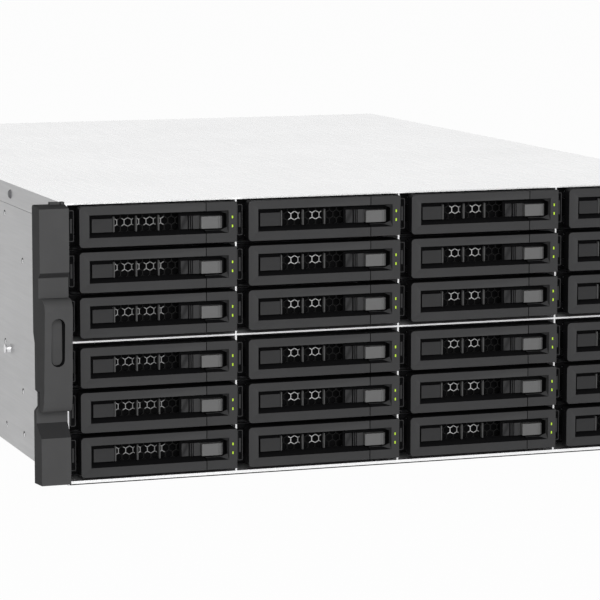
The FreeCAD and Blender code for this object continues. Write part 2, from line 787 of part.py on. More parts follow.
def top_cover():
    """A flat sheet folded down at both sides and at the rear, with its screws."""
    half = "body_width / 2"
    fold_z = ("body_height - cover_flange", "tub_top")
    shell = fuse("cover_shell", [
        block("cover_plate", (minus(half), half), ("front_y", "rear_y"), ("tub_top", "body_height")),
        block("cover_fold_left", (minus(half), "-tub_half"), ("front_y", "rear_y"), fold_z),
        block("cover_fold_right", ("tub_half", half), ("front_y", "rear_y"), fold_z),
        block("cover_fold_rear", ("-tub_half", "tub_half"), ("tub_rear", "rear_y"), fold_z),
    ])
    screws = []
    height = "body_height - cover_flange / 2"
    reach = "screw_head_height"
    for index in range(COVER_SCREWS):
        place = "front_y + cover_screw_inset + %d * cover_screw_spacing" % index
        screws.append(rod("cover_screw_left_%d" % index, "x", (minus(half + " + " + reach), minus(half)),
                          place, height, "screw_head_radius"))
        screws.append(rod("cover_screw_right_%d" % index, "x", (half, half + " + " + reach),
                          place, height, "screw_head_radius"))
    for index in (-1, 1):
        screws.append(rod("cover_thumb_screw_%d" % (index + 1), "y", "%d * body_width / 4" % index,
                          ("rear_y", "rear_y + thumb_screw_reach"), height, "screw_head_radius"))
    return group("top_cover", [shell] + screws)


def drive_cage():
    """Three dividers and a mid shelf, with a runner under each tray rail."""
    cage_y = ("front_y", "cage_rear")
    half = "cage_sheet / 2"
    pieces = [block("cage_shelf", ("-tub_inner", "tub_inner"), cage_y,
                    ("shelf_z - " + half, "shelf_z + " + half))]
    for column in range(1, COLUMNS):
        middle = divider_x(column)
        pieces.append(block("divider_%d" % column, ("%s - %s" % (middle, half), "%s + %s" % (middle, half)),
                            cage_y, ("tub_sheet", "tub_top")))
        for row in range(ROWS):
            pieces.append(block(
                "runner_%d_%d" % (column, row),
                ("%s - %s - runner_reach" % (middle, half), "%s + %s + runner_reach" % (middle, half)),
                ("front_y + runner_inset", "cage_rear"),
                ("%s + wall_margin - slide_gap - runner_height" % bezel_z(row),
                 "%s + wall_margin - slide_gap" % bezel_z(row))))
    return fuse("drive_cage", pieces)


def drive_backplane():
    """The board behind the drives, with a plug for each drive and air slots above the plugs."""
    board = block("backplane_board", ("board_margin - tub_inner", "tub_inner - board_margin"),
                  ("cage_rear", "cage_rear + board_sheet"),
                  ("tub_sheet + board_margin", "tub_top - board_margin"))
    plugs = []
    slots = []
    for row in range(ROWS):
        for column in range(COLUMNS):
            middle = "%s + bay_middle" % divider_x(column)
            low = bezel_z(row)
            plugs.append(block("drive_plug_%d_%d" % (row, column),
                               (middle + " - plug_width / 2", middle + " + plug_width / 2"),
                               ("cage_rear - plug_depth", "cage_rear"), (low, low + " + plug_height")))
            slots.append(block("air_slot_%d_%d" % (row, column),
                               (middle + " - air_slot_width / 2", middle + " + air_slot_width / 2"),
                               ("cage_rear - 1", "cage_rear + board_sheet + 1"),
                               (low + " + air_slot_rise", low + " + air_slot_rise + air_slot_height")))
    sockets = []
    for column in range(COLUMNS):
        middle = "%s + bay_middle" % divider_x(column)
        sockets.append(block("cable_socket_%d" % column,
                             (middle + " - cable_plug_width / 2", middle + " + cable_plug_width / 2"),
                             ("cage_rear + board_sheet", "cage_rear + board_sheet + plug_depth"),
                             ("data_socket_z", "data_socket_z + cable_plug_height")))
    return group("drive_backplane", [cut("backplane_slotted", board, slots)] + plugs + sockets)


# Fans


def fan_x(index):
    return "%d * fan_pitch" % (index - len(FAN_NAMES) // 2)


def fan_wall():
    """A bulkhead with three round mouths, and a frame with its motor seat behind each."""
    wall = block("fan_bulkhead", ("-tub_inner", "tub_inner"), ("fan_wall_y", "fan_wall_y + cage_sheet"),
                 ("tub_sheet", "tub_top"))
    through = ("fan_wall_y - 1", "fan_wall_y + cage_sheet + 1")
    mouths = [rod("fan_mouth_%d" % index, "y", fan_x(index), through, "fan_z", "fan_bore")
              for index in range(len(FAN_NAMES))]
    for column in range(COLUMNS):
        middle = "%s + bay_middle" % divider_x(column)
        mouths.append(block("cable_gate_%d" % column,
                            (middle + " - cable_plug_width / 2", middle + " + cable_plug_width / 2"),
                            through, ("tub_sheet - 1", "tub_sheet + cable_plug_height")))
    frames = [fan_frame(index) for index in range(len(FAN_NAMES))]
    return group("fan_wall", [cut("fan_bulkhead_cut", wall, mouths)] + frames)


def fan_frame(index):
    """A square duct with struts that carry the motor seat."""
    middle = fan_x(index)
    name = "fan_%s_" % FAN_NAMES[index]
    duct_y = ("fan_wall_y + cage_sheet", "fan_back_y")
    strut_y = ("fan_back_y - fan_motor_length", "fan_back_y")
    half = "fan_size / 2"
    duct = block(name + "duct", ("%s - %s" % (middle, half), "%s + %s" % (middle, half)), duct_y,
                 ("fan_z - " + half, "fan_z + " + half))
    bore = rod(name + "bore", "y", middle, ("fan_wall_y", "fan_back_y + 1"), "fan_z", "fan_bore")
    seat = rod(name + "seat", "y", middle, strut_y, "fan_z", "fan_hub")
    across = block(name + "strut_across", ("%s - %s" % (middle, half), "%s + %s" % (middle, half)),
                   strut_y, ("fan_z - fan_strut / 2", "fan_z + fan_strut / 2"))
    upright = block(name + "strut_upright", (middle + " - fan_strut / 2", middle + " + fan_strut / 2"),
                    strut_y, ("fan_z - " + half, "fan_z + " + half))
    joined = fuse(name + "frame", [cut(name + "ring", duct, [bore]), seat, across, upright])
    socket = rod(name + "socket", "y", middle, ("fan_back_y - fan_motor_length - 1", "fan_back_y + 1"),
                 "fan_z", "fan_shaft + fan_shaft_fit")
    return cut(name + "frame_bored", joined, [socket])


def fan_rotor():
    """Hub, shaft and blades about Z, with the hub's front face at Z 0."""
    body = new_body("fan_rotor")
    hub = sketch_on(body, "XY_Plane", "rotor_hub")
    circle(hub, "fan_hub")
    pad(body, "rotor_hub_pad", hub, "fan_hub_length")
    shaft = sketch_on(body, "XY_Plane", "rotor_shaft", "fan_hub_length")
    circle(shaft, "fan_shaft")
    pad(body, "rotor_shaft_pad", shaft, "fan_depth - fan_inset - fan_hub_length")
    blade = sketch_on(body, "YZ_Plane", "rotor_blade", "fan_hub - fan_strut / 2")
    middle = "fan_hub_length / 2"
    polygon(blade, [
        ("-blade_half_chord", middle + " - blade_half_rise"),
        ("blade_sheet - blade_half_chord", middle + " - blade_half_rise"),
        ("blade_half_chord", middle + " + blade_half_rise"),
        ("blade_half_chord - blade_sheet", middle + " + blade_half_rise"),
    ])
    blade_pad = pad(body, "rotor_blade_pad", blade, "fan_bore - fan_tip_gap - fan_hub + fan_strut / 2")
    pattern = body.newObject("PartDesign::PolarPattern", "rotor_blades")
    pattern.Originals = [blade_pad]
    axis = next(item for item in body.Origin.OriginFeatures if item.Role == "Z_Axis")
    pattern.Axis = (axis, [""])
    pattern.Angle = 360
    pattern.Occurrences = BLADES
    body.Tip = pattern
    return body


def fan_rotors():
    rotor = fan_rotor()
    links = []
    for index, name in enumerate(FAN_NAMES):
        link = DOC.addObject("App::Link", "fan_rotor_" + name)
        link.LinkedObject = rotor
        link.Placement = FreeCAD.Placement(V(), TURNS["y"])
        bind(link, ".Placement.Base.x", fan_x(index))
        bind(link, ".Placement.Base.y", "fan_wall_y + cage_sheet + fan_inset")
        bind(link, ".Placement.Base.z", "fan_z")
        links.append(link)
    return links


# Power and electronics


def power_supply(name, level):
    """One slide-in supply: case, inlet with its three blades, handle, release tab and plug tongue."""
    low = "tub_sheet + slide_gap + %d * supply_step" % level
    span_x = ("supply_low_x", "supply_high_x")
    inlet_x = ("supply_low_x + inlet_margin", "supply_low_x + inlet_margin + inlet_width")
    inlet_z = (low + " + inlet_margin", low + " + inlet_margin + inlet_height")
    tab_high_x = "supply_high_x - inlet_margin"
    case = block(name + "_block", span_x, ("supply_front + tongue_length", "tub_rear"),
                 (low, low + " + supply_height"))
    inlet = block(name + "_inlet", inlet_x, ("tub_rear - inlet_depth", "tub_rear + 1"), inlet_z)
    vents = []
    vent_low_x = "supply_low_x + 2 * inlet_margin + inlet_width"
    vent_count = int((size("supply_height") - size("inlet_margin")) // size("supply_vent_pitch"))
    for index in range(vent_count):
        base = "%s + inlet_margin + %d * supply_vent_pitch" % (low, index)
        vents.append(block("%s_vent_%d" % (name, index),
                           (vent_low_x, tab_high_x + " - tab_width - inlet_margin / 2"),
                           ("tub_rear - vent_width", "tub_rear + 1"), (base, base + " + vent_height")))
    blades = []
    for index, (side, rise) in enumerate(((-1, 1), (0, 2), (1, 1))):
        middle = "supply_low_x + inlet_margin + inlet_width / 2 + %d * inlet_width / 4" % side
        centre = "%s + inlet_margin + %d * inlet_height / 3" % (low, rise)
        blades.append(block("%s_pin_%d" % (name, index),
                            (middle + " - blade_pin_thickness / 2", middle + " + blade_pin_thickness / 2"),
                            ("tub_rear - inlet_depth", "tub_rear - blade_pin_thickness"),
                            (centre + " - blade_pin_width / 2", centre + " + blade_pin_width / 2")))
    bail_low = vent_low_x
    bail_y = ("tub_rear", "rear_y + rear_reach")
    bail_z = (low + " + supply_height - handle_bar * 2", low + " + supply_height - handle_bar")
    bail = fuse(name + "_handle", [
        block(name + "_handle_leg_a", (bail_low, bail_low + " + handle_bar"), bail_y, bail_z),
        block(name + "_handle_leg_b",
              (bail_low + " + handle_width - handle_bar", bail_low + " + handle_width"), bail_y, bail_z),
        block(name + "_handle_bar", (bail_low, bail_low + " + handle_width"),
              ("rear_y + rear_reach - handle_bar", "rear_y + rear_reach"), bail_z),
    ])
    tab = block(name + "_tab", (tab_high_x + " - tab_width", tab_high_x),
                ("tub_rear", "tub_rear + tab_reach"),
                (low + " + inlet_margin / 2", low + " + inlet_margin / 2 + blade_pin_width"))
    tongue = block(name + "_tongue", ("supply_low_x + inlet_margin", "supply_high_x - inlet_margin"),
                   ("supply_front", "supply_front + tongue_length"),
                   (low + " + inlet_margin", low + " + inlet_margin + mainboard_sheet"))
    shell = cut(name + "_case", case, [inlet] + vents)
    return group(name, [shell] + blades + [bail, tab, tongue])


def finned_cooler(name, x, y, width, base_high, high):
    """A block with upright fins along Y."""
    count = int(size(width) // size("fin_pitch"))
    low_z = "board_top + fin_sheet"
    span_y = (y, "%s + %s" % (y, width))
    pieces = [block(name + "_base", (x, "%s + %s" % (x, width)), span_y,
                    (low_z, "%s + %s" % (low_z, base_high)))]
    for index in range(count):
        left = "%s + %d * fin_pitch" % (x, index)
        pieces.append(block("%s_fin_%d" % (name, index), (left, left + " + fin_sheet"), span_y,
                            (low_z, "%s + %s" % (low_z, high))))
    lid = block(name + "_package", (x + " + fin_pitch", "%s + %s - fin_pitch" % (x, width)),
                (y + " + fin_pitch", "%s + %s - fin_pitch" % (y, width)), ("board_top", low_z))
    return [fuse(name, pieces), lid]


def mainboard():
    """The board on its standoffs, with coolers, memory, ports, cables and the supplies' plug board."""
    board = block("board", ("board_low_x", "board_high_x"), ("board_front", "board_back"),
                  ("board_z", "board_top"))
    pieces = [board]
    for column in range(3):
        for row in range(3):
            x = "board_low_x + standoff_half + %d * (mainboard_width / 2 - standoff_half)" % column
            y = "board_front + standoff_half + %d * (mainboard_length / 2 - standoff_half)" % row
            pieces.append(block("standoff_%d_%d" % (column, row),
                                (x + " - standoff_half", x + " + standoff_half"),
                                (y + " - standoff_half", y + " + standoff_half"), ("tub_sheet", "board_z")))
    pieces += finned_cooler("processor_cooler", "board_low_x + 2 * inlet_width", "board_front + inlet_width",
                            "cooler_size", "cooler_base", "cooler_height")
    pieces += finned_cooler("chipset_cooler", "board_high_x - 2 * cable_width - supply_height",
                            "board_back - cooler_size", "supply_height", "fin_sheet", "cooler_base")
    for index in range(4):
        left = "board_low_x + 3 * inlet_width + cooler_size + %d * memory_pitch" % index
        span_y = ("board_front + plug_depth + inlet_margin",
                  "board_front + plug_depth + inlet_margin + memory_length")
        pieces.append(block("memory_slot_%d" % index, (left, left + " + memory_pitch / 2"), span_y,
                            ("board_top", "board_top + memory_slot_height")))
        middle = left + " + memory_pitch / 4"
        pieces.append(block("memory_module_%d" % index,
                            (middle + " - memory_sheet / 2", middle + " + memory_sheet / 2"), span_y,
                            ("board_top + memory_slot_height",
                             "board_top + memory_slot_height + memory_height")))
    pieces += rear_ports() + cables() + supply_plug_board()
    return group("mainboard", pieces)


PORTS = (
    # name, place along the panel, width and height, as shares of the panel
    ("serial_port", 0.02, 0.13, 0.30),
    ("management_port", 0.19, 0.11, 0.34),
    ("usb_ports", 0.33, 0.09, 0.36),
    ("network_port_a", 0.46, 0.11, 0.34),
    ("network_port_b", 0.58, 0.11, 0.34),
    ("video_port", 0.73, 0.22, 0.28),
)


def rear_ports():
    """A metal can with an open mouth for each port, and the shield that they pass through."""
    ports = []
    holes = []
    for name, place, width, height in PORTS:
        left = "io_low_x + %.2f * io_width" % place
        right = "%s + %.2f * io_width" % (left, width)
        top = "board_top + %.2f * io_height" % height
        span_y = ("board_back - port_depth", "tub_rear + port_reach")
        can = block(name + "_can", (left, right), span_y, ("board_top", top))
        mouth = block(name + "_mouth", (left + " + port_wall", right + " - port_wall"),
                      ("board_back - port_depth + port_wall", "tub_rear + port_reach + 1"),
                      ("board_top + port_wall", top + " - port_wall"))
        ports.append(cut(name, can, [mouth]))
        holes.append(block(name + "_hole", (left + " - slide_gap", right + " + slide_gap"),
                           ("rear_wall - slot_cover_sheet - 1", "rear_wall + 1"),
                           ("board_top - slide_gap", top + " + slide_gap")))
    shield = block("port_shield_sheet", ("io_low_x - port_wall", "io_high_x + port_wall"),
                   ("rear_wall - slot_cover_sheet", "rear_wall"),
                   ("board_z - port_wall", "board_z + io_height + port_wall"))
    return ports + [cut("port_shield", shield, holes)]


def flat_cable(column, end_y):
    """A flat cable from the backplane's socket down to the base and back to a place behind."""
    middle = "%s + bay_middle" % divider_x(column)
    span_x = (middle + " - cable_width / 2", middle + " + cable_width / 2")
    riser_y = "cage_rear + board_sheet + plug_depth"
    low_z = ("tub_sheet + cable_sheet", "tub_sheet + 2 * cable_sheet")
    return span_x, [
        block("cable_rise_%d" % column, span_x, (riser_y, riser_y + " + cable_sheet"),
              (low_z[0], "data_socket_z + cable_plug_height / 2")),
        block("cable_run_%d" % column, span_x, (riser_y, end_y), low_z),
    ]


def cables():
    """A power cable to the plug board, and data cables to sockets on the mainboard's front edge."""
    power = flat_cable(0, "supply_front - mating_gap - plug_depth - mainboard_sheet")[1]
    pieces = [fuse("power_cable", power)]
    for column in range(1, COLUMNS):
        span_x, runs = flat_cable(column, "board_front")
        top = "board_top + cable_plug_height"
        runs.append(block("cable_end_%d" % column, span_x, ("board_front - cable_sheet", "board_front"),
                          ("tub_sheet + cable_sheet", "board_top + cable_plug_height / 2")))
        pieces.append(fuse("data_cable_%d" % column, runs))
        pieces.append(block("data_socket_%d" % column, span_x, ("board_front", "board_front + plug_depth"),
                            ("board_top", top)))
    return pieces


def supply_plug_board():
    """The upright board that both supplies plug into."""
    back = "supply_front - mating_gap"
    pieces = [block("plug_board", ("supply_low_x", "supply_high_x"),
                    (back + " - plug_depth - mainboard_sheet", back + " - plug_depth"),
                    ("tub_sheet", "tub_sheet + 2 * supply_step"))]
    for level in range(2):
        low = "tub_sheet + slide_gap + %d * supply_step + inlet_margin / 2" % level
        pieces.append(block("plug_board_socket_%d" % level,
                            ("supply_low_x + inlet_margin / 2", "supply_high_x - inlet_margin / 2"),
                            (back + " - plug_depth", back), (low, low + " + inlet_margin + mainboard_sheet")))
    return pieces


# Rack ears


def ear_outline(body):
    """The ear seen from the front, with its waist beside the grip and the notch at the grip's foot."""
    sketch = sketch_on(body, "XZ_Plane", "ear_outline", "plateau_reach - face_y")
    outer = "-ear_outer"
    polygon(sketch, [
        ("-ear_inner", "ear_low"),
        (outer, "ear_low"),
        (outer, "notch_low - notch_slope"),
        (outer + " + notch_inset", "notch_low"),
        (outer + " + notch_inset", "pull_gap_high - notch_slope / 2"),
        (outer + " + waist_inset", "pull_gap_high"),
        (outer + " + waist_inset", "waist_low"),
        (outer, "waist_high"),
        (outer, "ear_top"),
        ("-ear_inner", "ear_top"),
    ])
    return sketch


def ear_cover():
    """The left ear's moulded cover: two plateaus, with the grip between them."""
    body = new_body("ear_cover_body")
    pad(body, "ear_block", ear_outline(body), "plateau_reach + ear_back", reverse=True)
    left = minus("ear_outer + 1")
    width = "ear_width + 2"
    recess = sketch_on(body, "YZ_Plane", "ear_recesses", left)
    plateau = "face_y - plateau_reach"
    polygon(recess, [
        (plateau + " - 1", "grip_high"),
        ("face_y - upper_recess_reach", "grip_high"),
        ("face_y - upper_recess_reach", "upper_recess_high"),
        (plateau, "upper_plateau_low"),
        (plateau + " - 1", "upper_plateau_low"),
    ])
    polygon(recess, [
        (plateau + " - 1", "lower_plateau_high"),
        (plateau, "lower_plateau_high"),
        ("face_y + lower_recess_depth", "lower_recess_low"),
        ("face_y + lower_recess_depth", "pull_gap_high"),
        (plateau + " - 1", "pull_gap_high"),
    ])
    polygon(recess, [
        (plateau + " - 1", "ear_top - ear_top_drop"),
        (plateau, "ear_top - ear_top_drop"),
        ("face_y + ear_back + 1", "ear_top"),
        ("face_y + ear_back + 1", "ear_top + 1"),
        (plateau + " - 1", "ear_top + 1"),
    ])
    pocket(body, "ear_recess_cut", recess, width, reverse=True)
    grip = sketch_on(body, "YZ_Plane", "ear_grip", minus("ear_outer"))
    front_high = "face_y - grip_reach"
    front_low = "face_y - grip_reach + grip_lean"
    polygon(grip, [
        (front_high, "grip_high - grip_round"),
        (front_low, "grip_low + foot_rise"),
        (front_low + " + foot_reach / 4", "grip_low + foot_rise / 3"),
        (front_low + " + foot_reach", "grip_low"),
        ("face_y - grip_reach + grip_thickness + grip_lean", "grip_low"),
        ("face_y - grip_reach + grip_thickness + grip_lean", "pull_gap_high"),
        ("face_y + ear_back", "pull_gap_high"),
        ("face_y + ear_back", "grip_high"),
        (front_high + " + grip_round", "grip_high"),
        (front_high + " + grip_round / 3", "grip_high - grip_round / 3"),
    ])
    pad(body, "ear_grip_pad", grip, "ear_width")
    side = sketch_on(body, "XY_Plane", "ear_side")
    polygon(side, [
        (minus("ear_outer + 1"), "face_y + ear_back"),
        (minus("ear_outer"), "face_y + ear_back"),
        ("ear_side_slope - ear_outer", "face_y - grip_reach - 1"),
        (minus("ear_outer + 1"), "face_y - grip_reach - 1"),
    ])
    pocket(body, "ear_side_cut", side, "ear_top + 1", reverse=True)
    waist = sketch_on(body, "XZ_Plane", "ear_waist", minus("face_y + ear_back"))
    outer = "-ear_outer"
    polygon(waist, [
        (outer + " - 1", "notch_low - notch_slope"),
        (outer, "notch_low - notch_slope"),
        (outer + " + notch_inset", "notch_low"),
        (outer + " + notch_inset", "pull_gap_high - notch_slope / 2"),
        (outer + " + waist_inset", "pull_gap_high"),
        (outer + " + waist_inset", "waist_low"),
        (outer, "waist_high"),
        (outer + " - 1", "waist_high"),
    ])
    pocket(body, "ear_waist_cut", waist, "ear_back", reverse=True)
    return body


def ear_side(name):
    """Cover and bracket of the left ear, with pockets behind the rack screws."""
    oblong_x = "oblong_inset - ear_outer"
    oblong_y = ("face_y - grip_reach - 1", "face_y - grip_reach + oblong_depth")
    oblong = [
        block(name + "_oblong", (oblong_x + " - oblong_radius", oblong_x + " + oblong_radius"), oblong_y,
              ("oblong_low + oblong_radius", "oblong_high - oblong_radius")),
        rod(name + "_oblong_low", "y", oblong_x, oblong_y, "oblong_low + oblong_radius", "oblong_radius"),
        rod(name + "_oblong_high", "y", oblong_x, oblong_y, "oblong_high - oblong_radius", "oblong_radius"),
    ]
    pockets = []
    holes = []
    for level in ("rack_hole_low", "rack_hole_high"):
        pockets.append(rod("%s_pocket_%s" % (name, level), "y", "-rack_hole_x",
                           ("ear_back_y - rack_hole_pocket", "ear_back_y + 1"), level, "rack_hole_radius"))
        holes.append(rod("%s_hole_%s" % (name, level), "y", "-rack_hole_x",
                         ("ear_back_y - 1", "bracket_back + 1"), level, "rack_hole_radius"))
    cover = cut(name + "_cover", ear_cover(), [fuse(name + "_oblong_tool", oblong)] + pockets)
    plate = fuse(name + "_bracket_blank", [
        block(name + "_flange", ("bracket_inset - ear_outer + notch_inset", "-tub_half"),
              ("ear_back_y", "bracket_back"), ("ear_low", "ear_top - ear_top_drop")),
        block(name + "_leg", ("-tub_half - bracket_sheet / 2", "-tub_half"),
              ("ear_back_y", "bracket_back + bracket_leg"),
              ("ear_low + bracket_margin", "body_height - cover_flange - slide_gap")),
    ])
    return [cover, cut(name + "_bracket", plate, holes)]


def rack_ears():
    left = ear_side("ear")
    right = [mirrored("right_" + piece.Name, piece) for piece in left]
    return group("rack_ears", left + right)


def build():
    make_sheet()
    nodes = [
        chassis_tub(),
        top_cover(),
        drive_cage(),
        rack_ears(),
        drive_backplane(),
        fan_wall(),
        mainboard(),
        power_supply("power_supply_lower", 0),
        power_supply("power_supply_upper", 1),
    ]
    nodes += fan_rotors()
    nodes += in_every_bay(drive_tray(), "drive_tray")
    nodes += in_every_bay(tray_lever(), "tray_lever")
    DOC.recompute()
    return nodes


def write(nodes):
    """Checks every object and writes each node's solids."""
    for thing in DOC.Objects:
        if "Invalid" in thing.State or "Error" in thing.State:
            raise ValueError("%s failed: %s" % (thing.Name, thing.State))
    os.makedirs("parts", exist_ok=True)
    for node in nodes:
        shape = node.Shape
        if shape.isNull() or not shape.isValid():
            raise ValueError("%s has no valid shape" % node.Label)
        shape.exportStep("parts/%s.step" % node.Label)


write(build())
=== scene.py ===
import math

import bmesh
import bpy
from mathutils import Matrix, Vector


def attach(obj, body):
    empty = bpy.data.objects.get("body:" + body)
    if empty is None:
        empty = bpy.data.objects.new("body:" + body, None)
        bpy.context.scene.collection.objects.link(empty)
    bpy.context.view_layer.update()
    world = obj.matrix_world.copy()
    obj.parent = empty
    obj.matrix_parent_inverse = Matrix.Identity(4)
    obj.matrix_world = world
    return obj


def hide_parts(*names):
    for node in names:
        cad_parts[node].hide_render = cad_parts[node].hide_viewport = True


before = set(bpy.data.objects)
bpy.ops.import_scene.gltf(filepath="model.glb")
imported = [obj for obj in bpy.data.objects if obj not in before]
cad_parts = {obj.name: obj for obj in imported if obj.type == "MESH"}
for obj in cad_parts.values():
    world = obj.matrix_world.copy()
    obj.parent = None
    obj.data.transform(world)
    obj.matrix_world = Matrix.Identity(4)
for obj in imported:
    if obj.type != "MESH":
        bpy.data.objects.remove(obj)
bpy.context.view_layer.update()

# Sizes in millimetres, as in the part's source
ROWS = 6
COLUMNS = 4
MM = 0.001
FAR = 999
OPEN = (-FAR, FAR)
RACK_HALF = 241.3
BODY_HALF = 220.5
BODY_TOP = 176.0
TUB_HALF = 219.5
TUB_INNER = 218.3
FACE_Y = -319.75
FRONT_Y = -311.75
TUB_REAR = 314.25
REAR_Y = 315.25
CAGE_REAR = -144.45
PITCH = 109.3
ROW_PITCH = 28.1
SHELF_EXTRA = 3.04
TOP_BEZEL = 149.24
SHELF_Z = 89.54
BEZEL_LOW_X = 5.86
BEZEL_HIGH_X = 107.36
BEZEL_HIGH = 25.04
SEAM = 87.06
SEAM_GAP = 0.5
RECESS_LOW_X = 12.16
RECESS_HIGH_X = 102.06
RECESS_LOW = 5.74
RECESS_HIGH = 19.84
WINDOW_LOW_X = 29.8
WINDOW_WIDTH = 13.1
WINDOWS = 3
RIB = 1.3
WINDOW_LOW = 8.04
WINDOW_HIGH = 18.44
BLOCK_LOW_X = 72.41
BLOCK_HIGH_X = 84.26
PAD_LOW = 8.5
PAD_HIGH = 16.8
PAD_X = (15.0, 28.2)
PAD_Y = (4.6, 7.5)
PAD_Z = (PAD_LOW, PAD_HIGH)
STEP_HIGH_X = 77.0
SLATS_X = ((77.6, 78.2), (78.9, 79.5), (80.1, BLOCK_HIGH_X))
SLAT_BACK_X = (76.0, 81.0)
BEZEL_DEPTH = 9
RECESS_DEPTH = 7
TONGUE_Z = (7.2, 18.4)
HINGE_BLOCK_X = (6.7, 10.9)
HINGE_BLOCK_Y = (8.5, 14.5)
HINGE_BLOCK_Z = (7.0, 18.04)
BUTTON_LOW_X = 84.66
BUTTON_HIGH_X = 98.46
PIN_X = 8.4
PIN_Y = 12.0
LUG_Y = (12.2, 14.6)
LUGS_Z = ((2.5, 6.7), (18.34, 22.54))
RAIL_OUTER = 1.45
RAIL_INNER = 3.85
WALL_FRONT = 16
TRAY_BACK = 167
PIPE_X = (104.1, 105.0)
PIPES_Z = (15.54, 9.94)
PIPE_HALF = 0.86
BORE_HALF = 0.95
EAR_LOW = 2.6
EAR_HEIGHT = 173.94
WAIST = 0.8
NOTCH = 2.2
EAR_BACK = 5.3
EAR_TABS_X = ((-230.3, -224.2), (-223.3, -221.1))
RACK_HOLE_X = 232.55
RACK_HOLES_Z = (37.2, 138.8)
SCREW_INSET = 135.4
SCREW_STEP = 165.0
SCREW_Z = 169.0
STUDS_Y = (-166.15, 163.85)
STUD_Z = 64.9
SUPPLIES = (("lower", 1.4), ("upper", 43.0))
RIVETS = (
    (-156.15, 154.4), (-203.05, 127.8), (-153.85, 68.1),
    (-201.05, 41.5), (-155.15, 12.0), (-202.45, 13.2),
)

# The photograph's camera, fitted to the sizes above

PHOTO_PX = 600
FOCAL_PX = 2963.45
CENTRE_PX = (236.918, 288.353)
SENSOR = 36.0
CAMERA_AT = (-0.686486, -2.062048, 0.366524)


# Solids from outlines


def finished(shape):
    """The mesh of a closed shape, its faces turned outward."""
    bmesh.ops.recalc_face_normals(shape, faces=shape.faces)
    mesh = bpy.data.meshes.new("solid")
    shape.to_mesh(mesh)
    shape.free()
    return mesh


def prism(along, low, high, outline):
    """An outline in the other two axes, in the order X, Y, Z, swept along one axis."""
    order = {"x": (2, 0, 1), "y": (0, 2, 1), "z": (0, 1, 2)}[along]
    shape = bmesh.new()
    ends = []
    for place_at in (low, high):
        corners = []
        for first, second in outline:
            values = (first, second, place_at)
            corners.append(shape.verts.new([values[i] for i in order]))
        ends.append(corners)
    shape.faces.new(ends[0])
    shape.faces.new(ends[1])
    count = len(outline)
    for i in range(count):
        j = (i + 1) % count
        shape.faces.new((ends[0][i], ends[0][j], ends[1][j], ends[1][i]))
    return finished(shape)


def box(x, y, z):
    return prism("z", z[0], z[1], [(x[0], y[0]), (x[1], y[0]), (x[1], y[1]), (x[0], y[1])])


def ring(centre, radius, sides, start=0.0):
    """The corners of a regular polygon."""
    turns = [start + 2 * math.pi * i / sides for i in range(sides)]
    return [(centre[0] + radius * math.cos(t), centre[1] + radius * math.sin(t)) for t in turns]


def rod(along, low, high, centre, radius, sides=32):
    return prism(along, low, high, ring(centre, radius, sides))


def rounded(low, high, radius, steps=5, corners=(True, True, True, True)):
    """A rectangle whose corners are rounded where asked, from the low corner anticlockwise."""
    spots = [
        (low[0], low[1], 1, 1, math.pi),
        (high[0], low[1], -1, 1, 1.5 * math.pi),
        (high[0], high[1], -1, -1, 0.0),
        (low[0], high[1], 1, -1, 0.5 * math.pi),
    ]
    points = []
    for wanted, (x, y, dx, dy, start) in zip(corners, spots):
        if not wanted:
            points.append((x, y))
            continue
        cx, cy = x + dx * radius, y + dy * radius
        for i in range(steps + 1):
            t = start + 0.5 * math.pi * i / steps
            points.append((cx + radius * math.cos(t), cy + radius * math.sin(t)))
    return points


def evaluated(mesh, add_steps):
    """The mesh after the modifiers that add_steps puts on a passing object."""
    host = bpy.data.objects.new("host", mesh)
    bpy.context.scene.collection.objects.link(host)
    add_steps(host)
    graph = bpy.context.evaluated_depsgraph_get()
    made = bpy.data.meshes.new_from_object(host.evaluated_get(graph))
    bpy.data.objects.remove(host)
    return made


def combine(kind, base, others):
    """Joins solids to the base, or cuts them from it."""
    tools = bpy.data.collections.new("tools")
    bpy.context.scene.collection.children.link(tools)
    passing = []
    for other in others:
        thing = bpy.data.objects.new("tool", other)
        tools.objects.link(thing)
        passing.append(thing)

    def add_steps(host):
        step = host.modifiers.new("step", "BOOLEAN")
        step.operation = kind
        step.operand_type = "COLLECTION"
        step.collection = tools
        step.solver = "EXACT"
        step.use_self = True

    made = evaluated(base, add_steps)
    for thing in passing:
        bpy.data.objects.remove(thing)
    bpy.data.collections.remove(tools)
    return made


def join(base, *others):
    return combine("UNION", base, others)


def cut(base, *others):
    return combine("DIFFERENCE", base, others)


def region(x=OPEN, y=OPEN, z=OPEN):
    """A box for paint; an axis that isn't given is open."""
    return (*x, *y, *z)


def paint(mesh, rules):
    """Gives faces a material number by the box, in mm, that their middle lies in; later rules win."""
    for face in mesh.polygons:
        x, y, z = face.center
        for number, (x0, x1, y0, y1, z0, z1) in rules:
            if x0 <= x <= x1 and y0 <= y <= y1 and z0 <= z <= z1:
                face.material_index = number


def paint_facing(mesh, number, chosen):
    """Gives a material number to the faces for which chosen(middle, normal) holds."""
    for face in mesh.polygons:
        if chosen(face.center, face.normal):
            face.material_index = number


def dressed(mesh, width, segments=2, angle=30, smooth=True):
    """Rounds the sharp edges, shades smoothly and turns millimetres into metres."""
    for face in mesh.polygons:
        face.use_smooth = smooth

    def add_steps(host):
        weld = host.modifiers.new("weld", "WELD")
        weld.merge_threshold = 0.001
        if width:
            bevel = host.modifiers.new("bevel", "BEVEL")
            bevel.width = width
            bevel.segments = segments
            bevel.limit_method = "ANGLE"
            bevel.angle_limit = math.radians(angle)
            bevel.miter_outer = "MITER_ARC"
        if smooth:
            weighted = host.modifiers.new("weighted", "WEIGHTED_NORMAL")
            weighted.weight = 80

    made = evaluated(mesh, add_steps)
    made.transform(Matrix.Scale(MM, 4))
    return made


# Materials


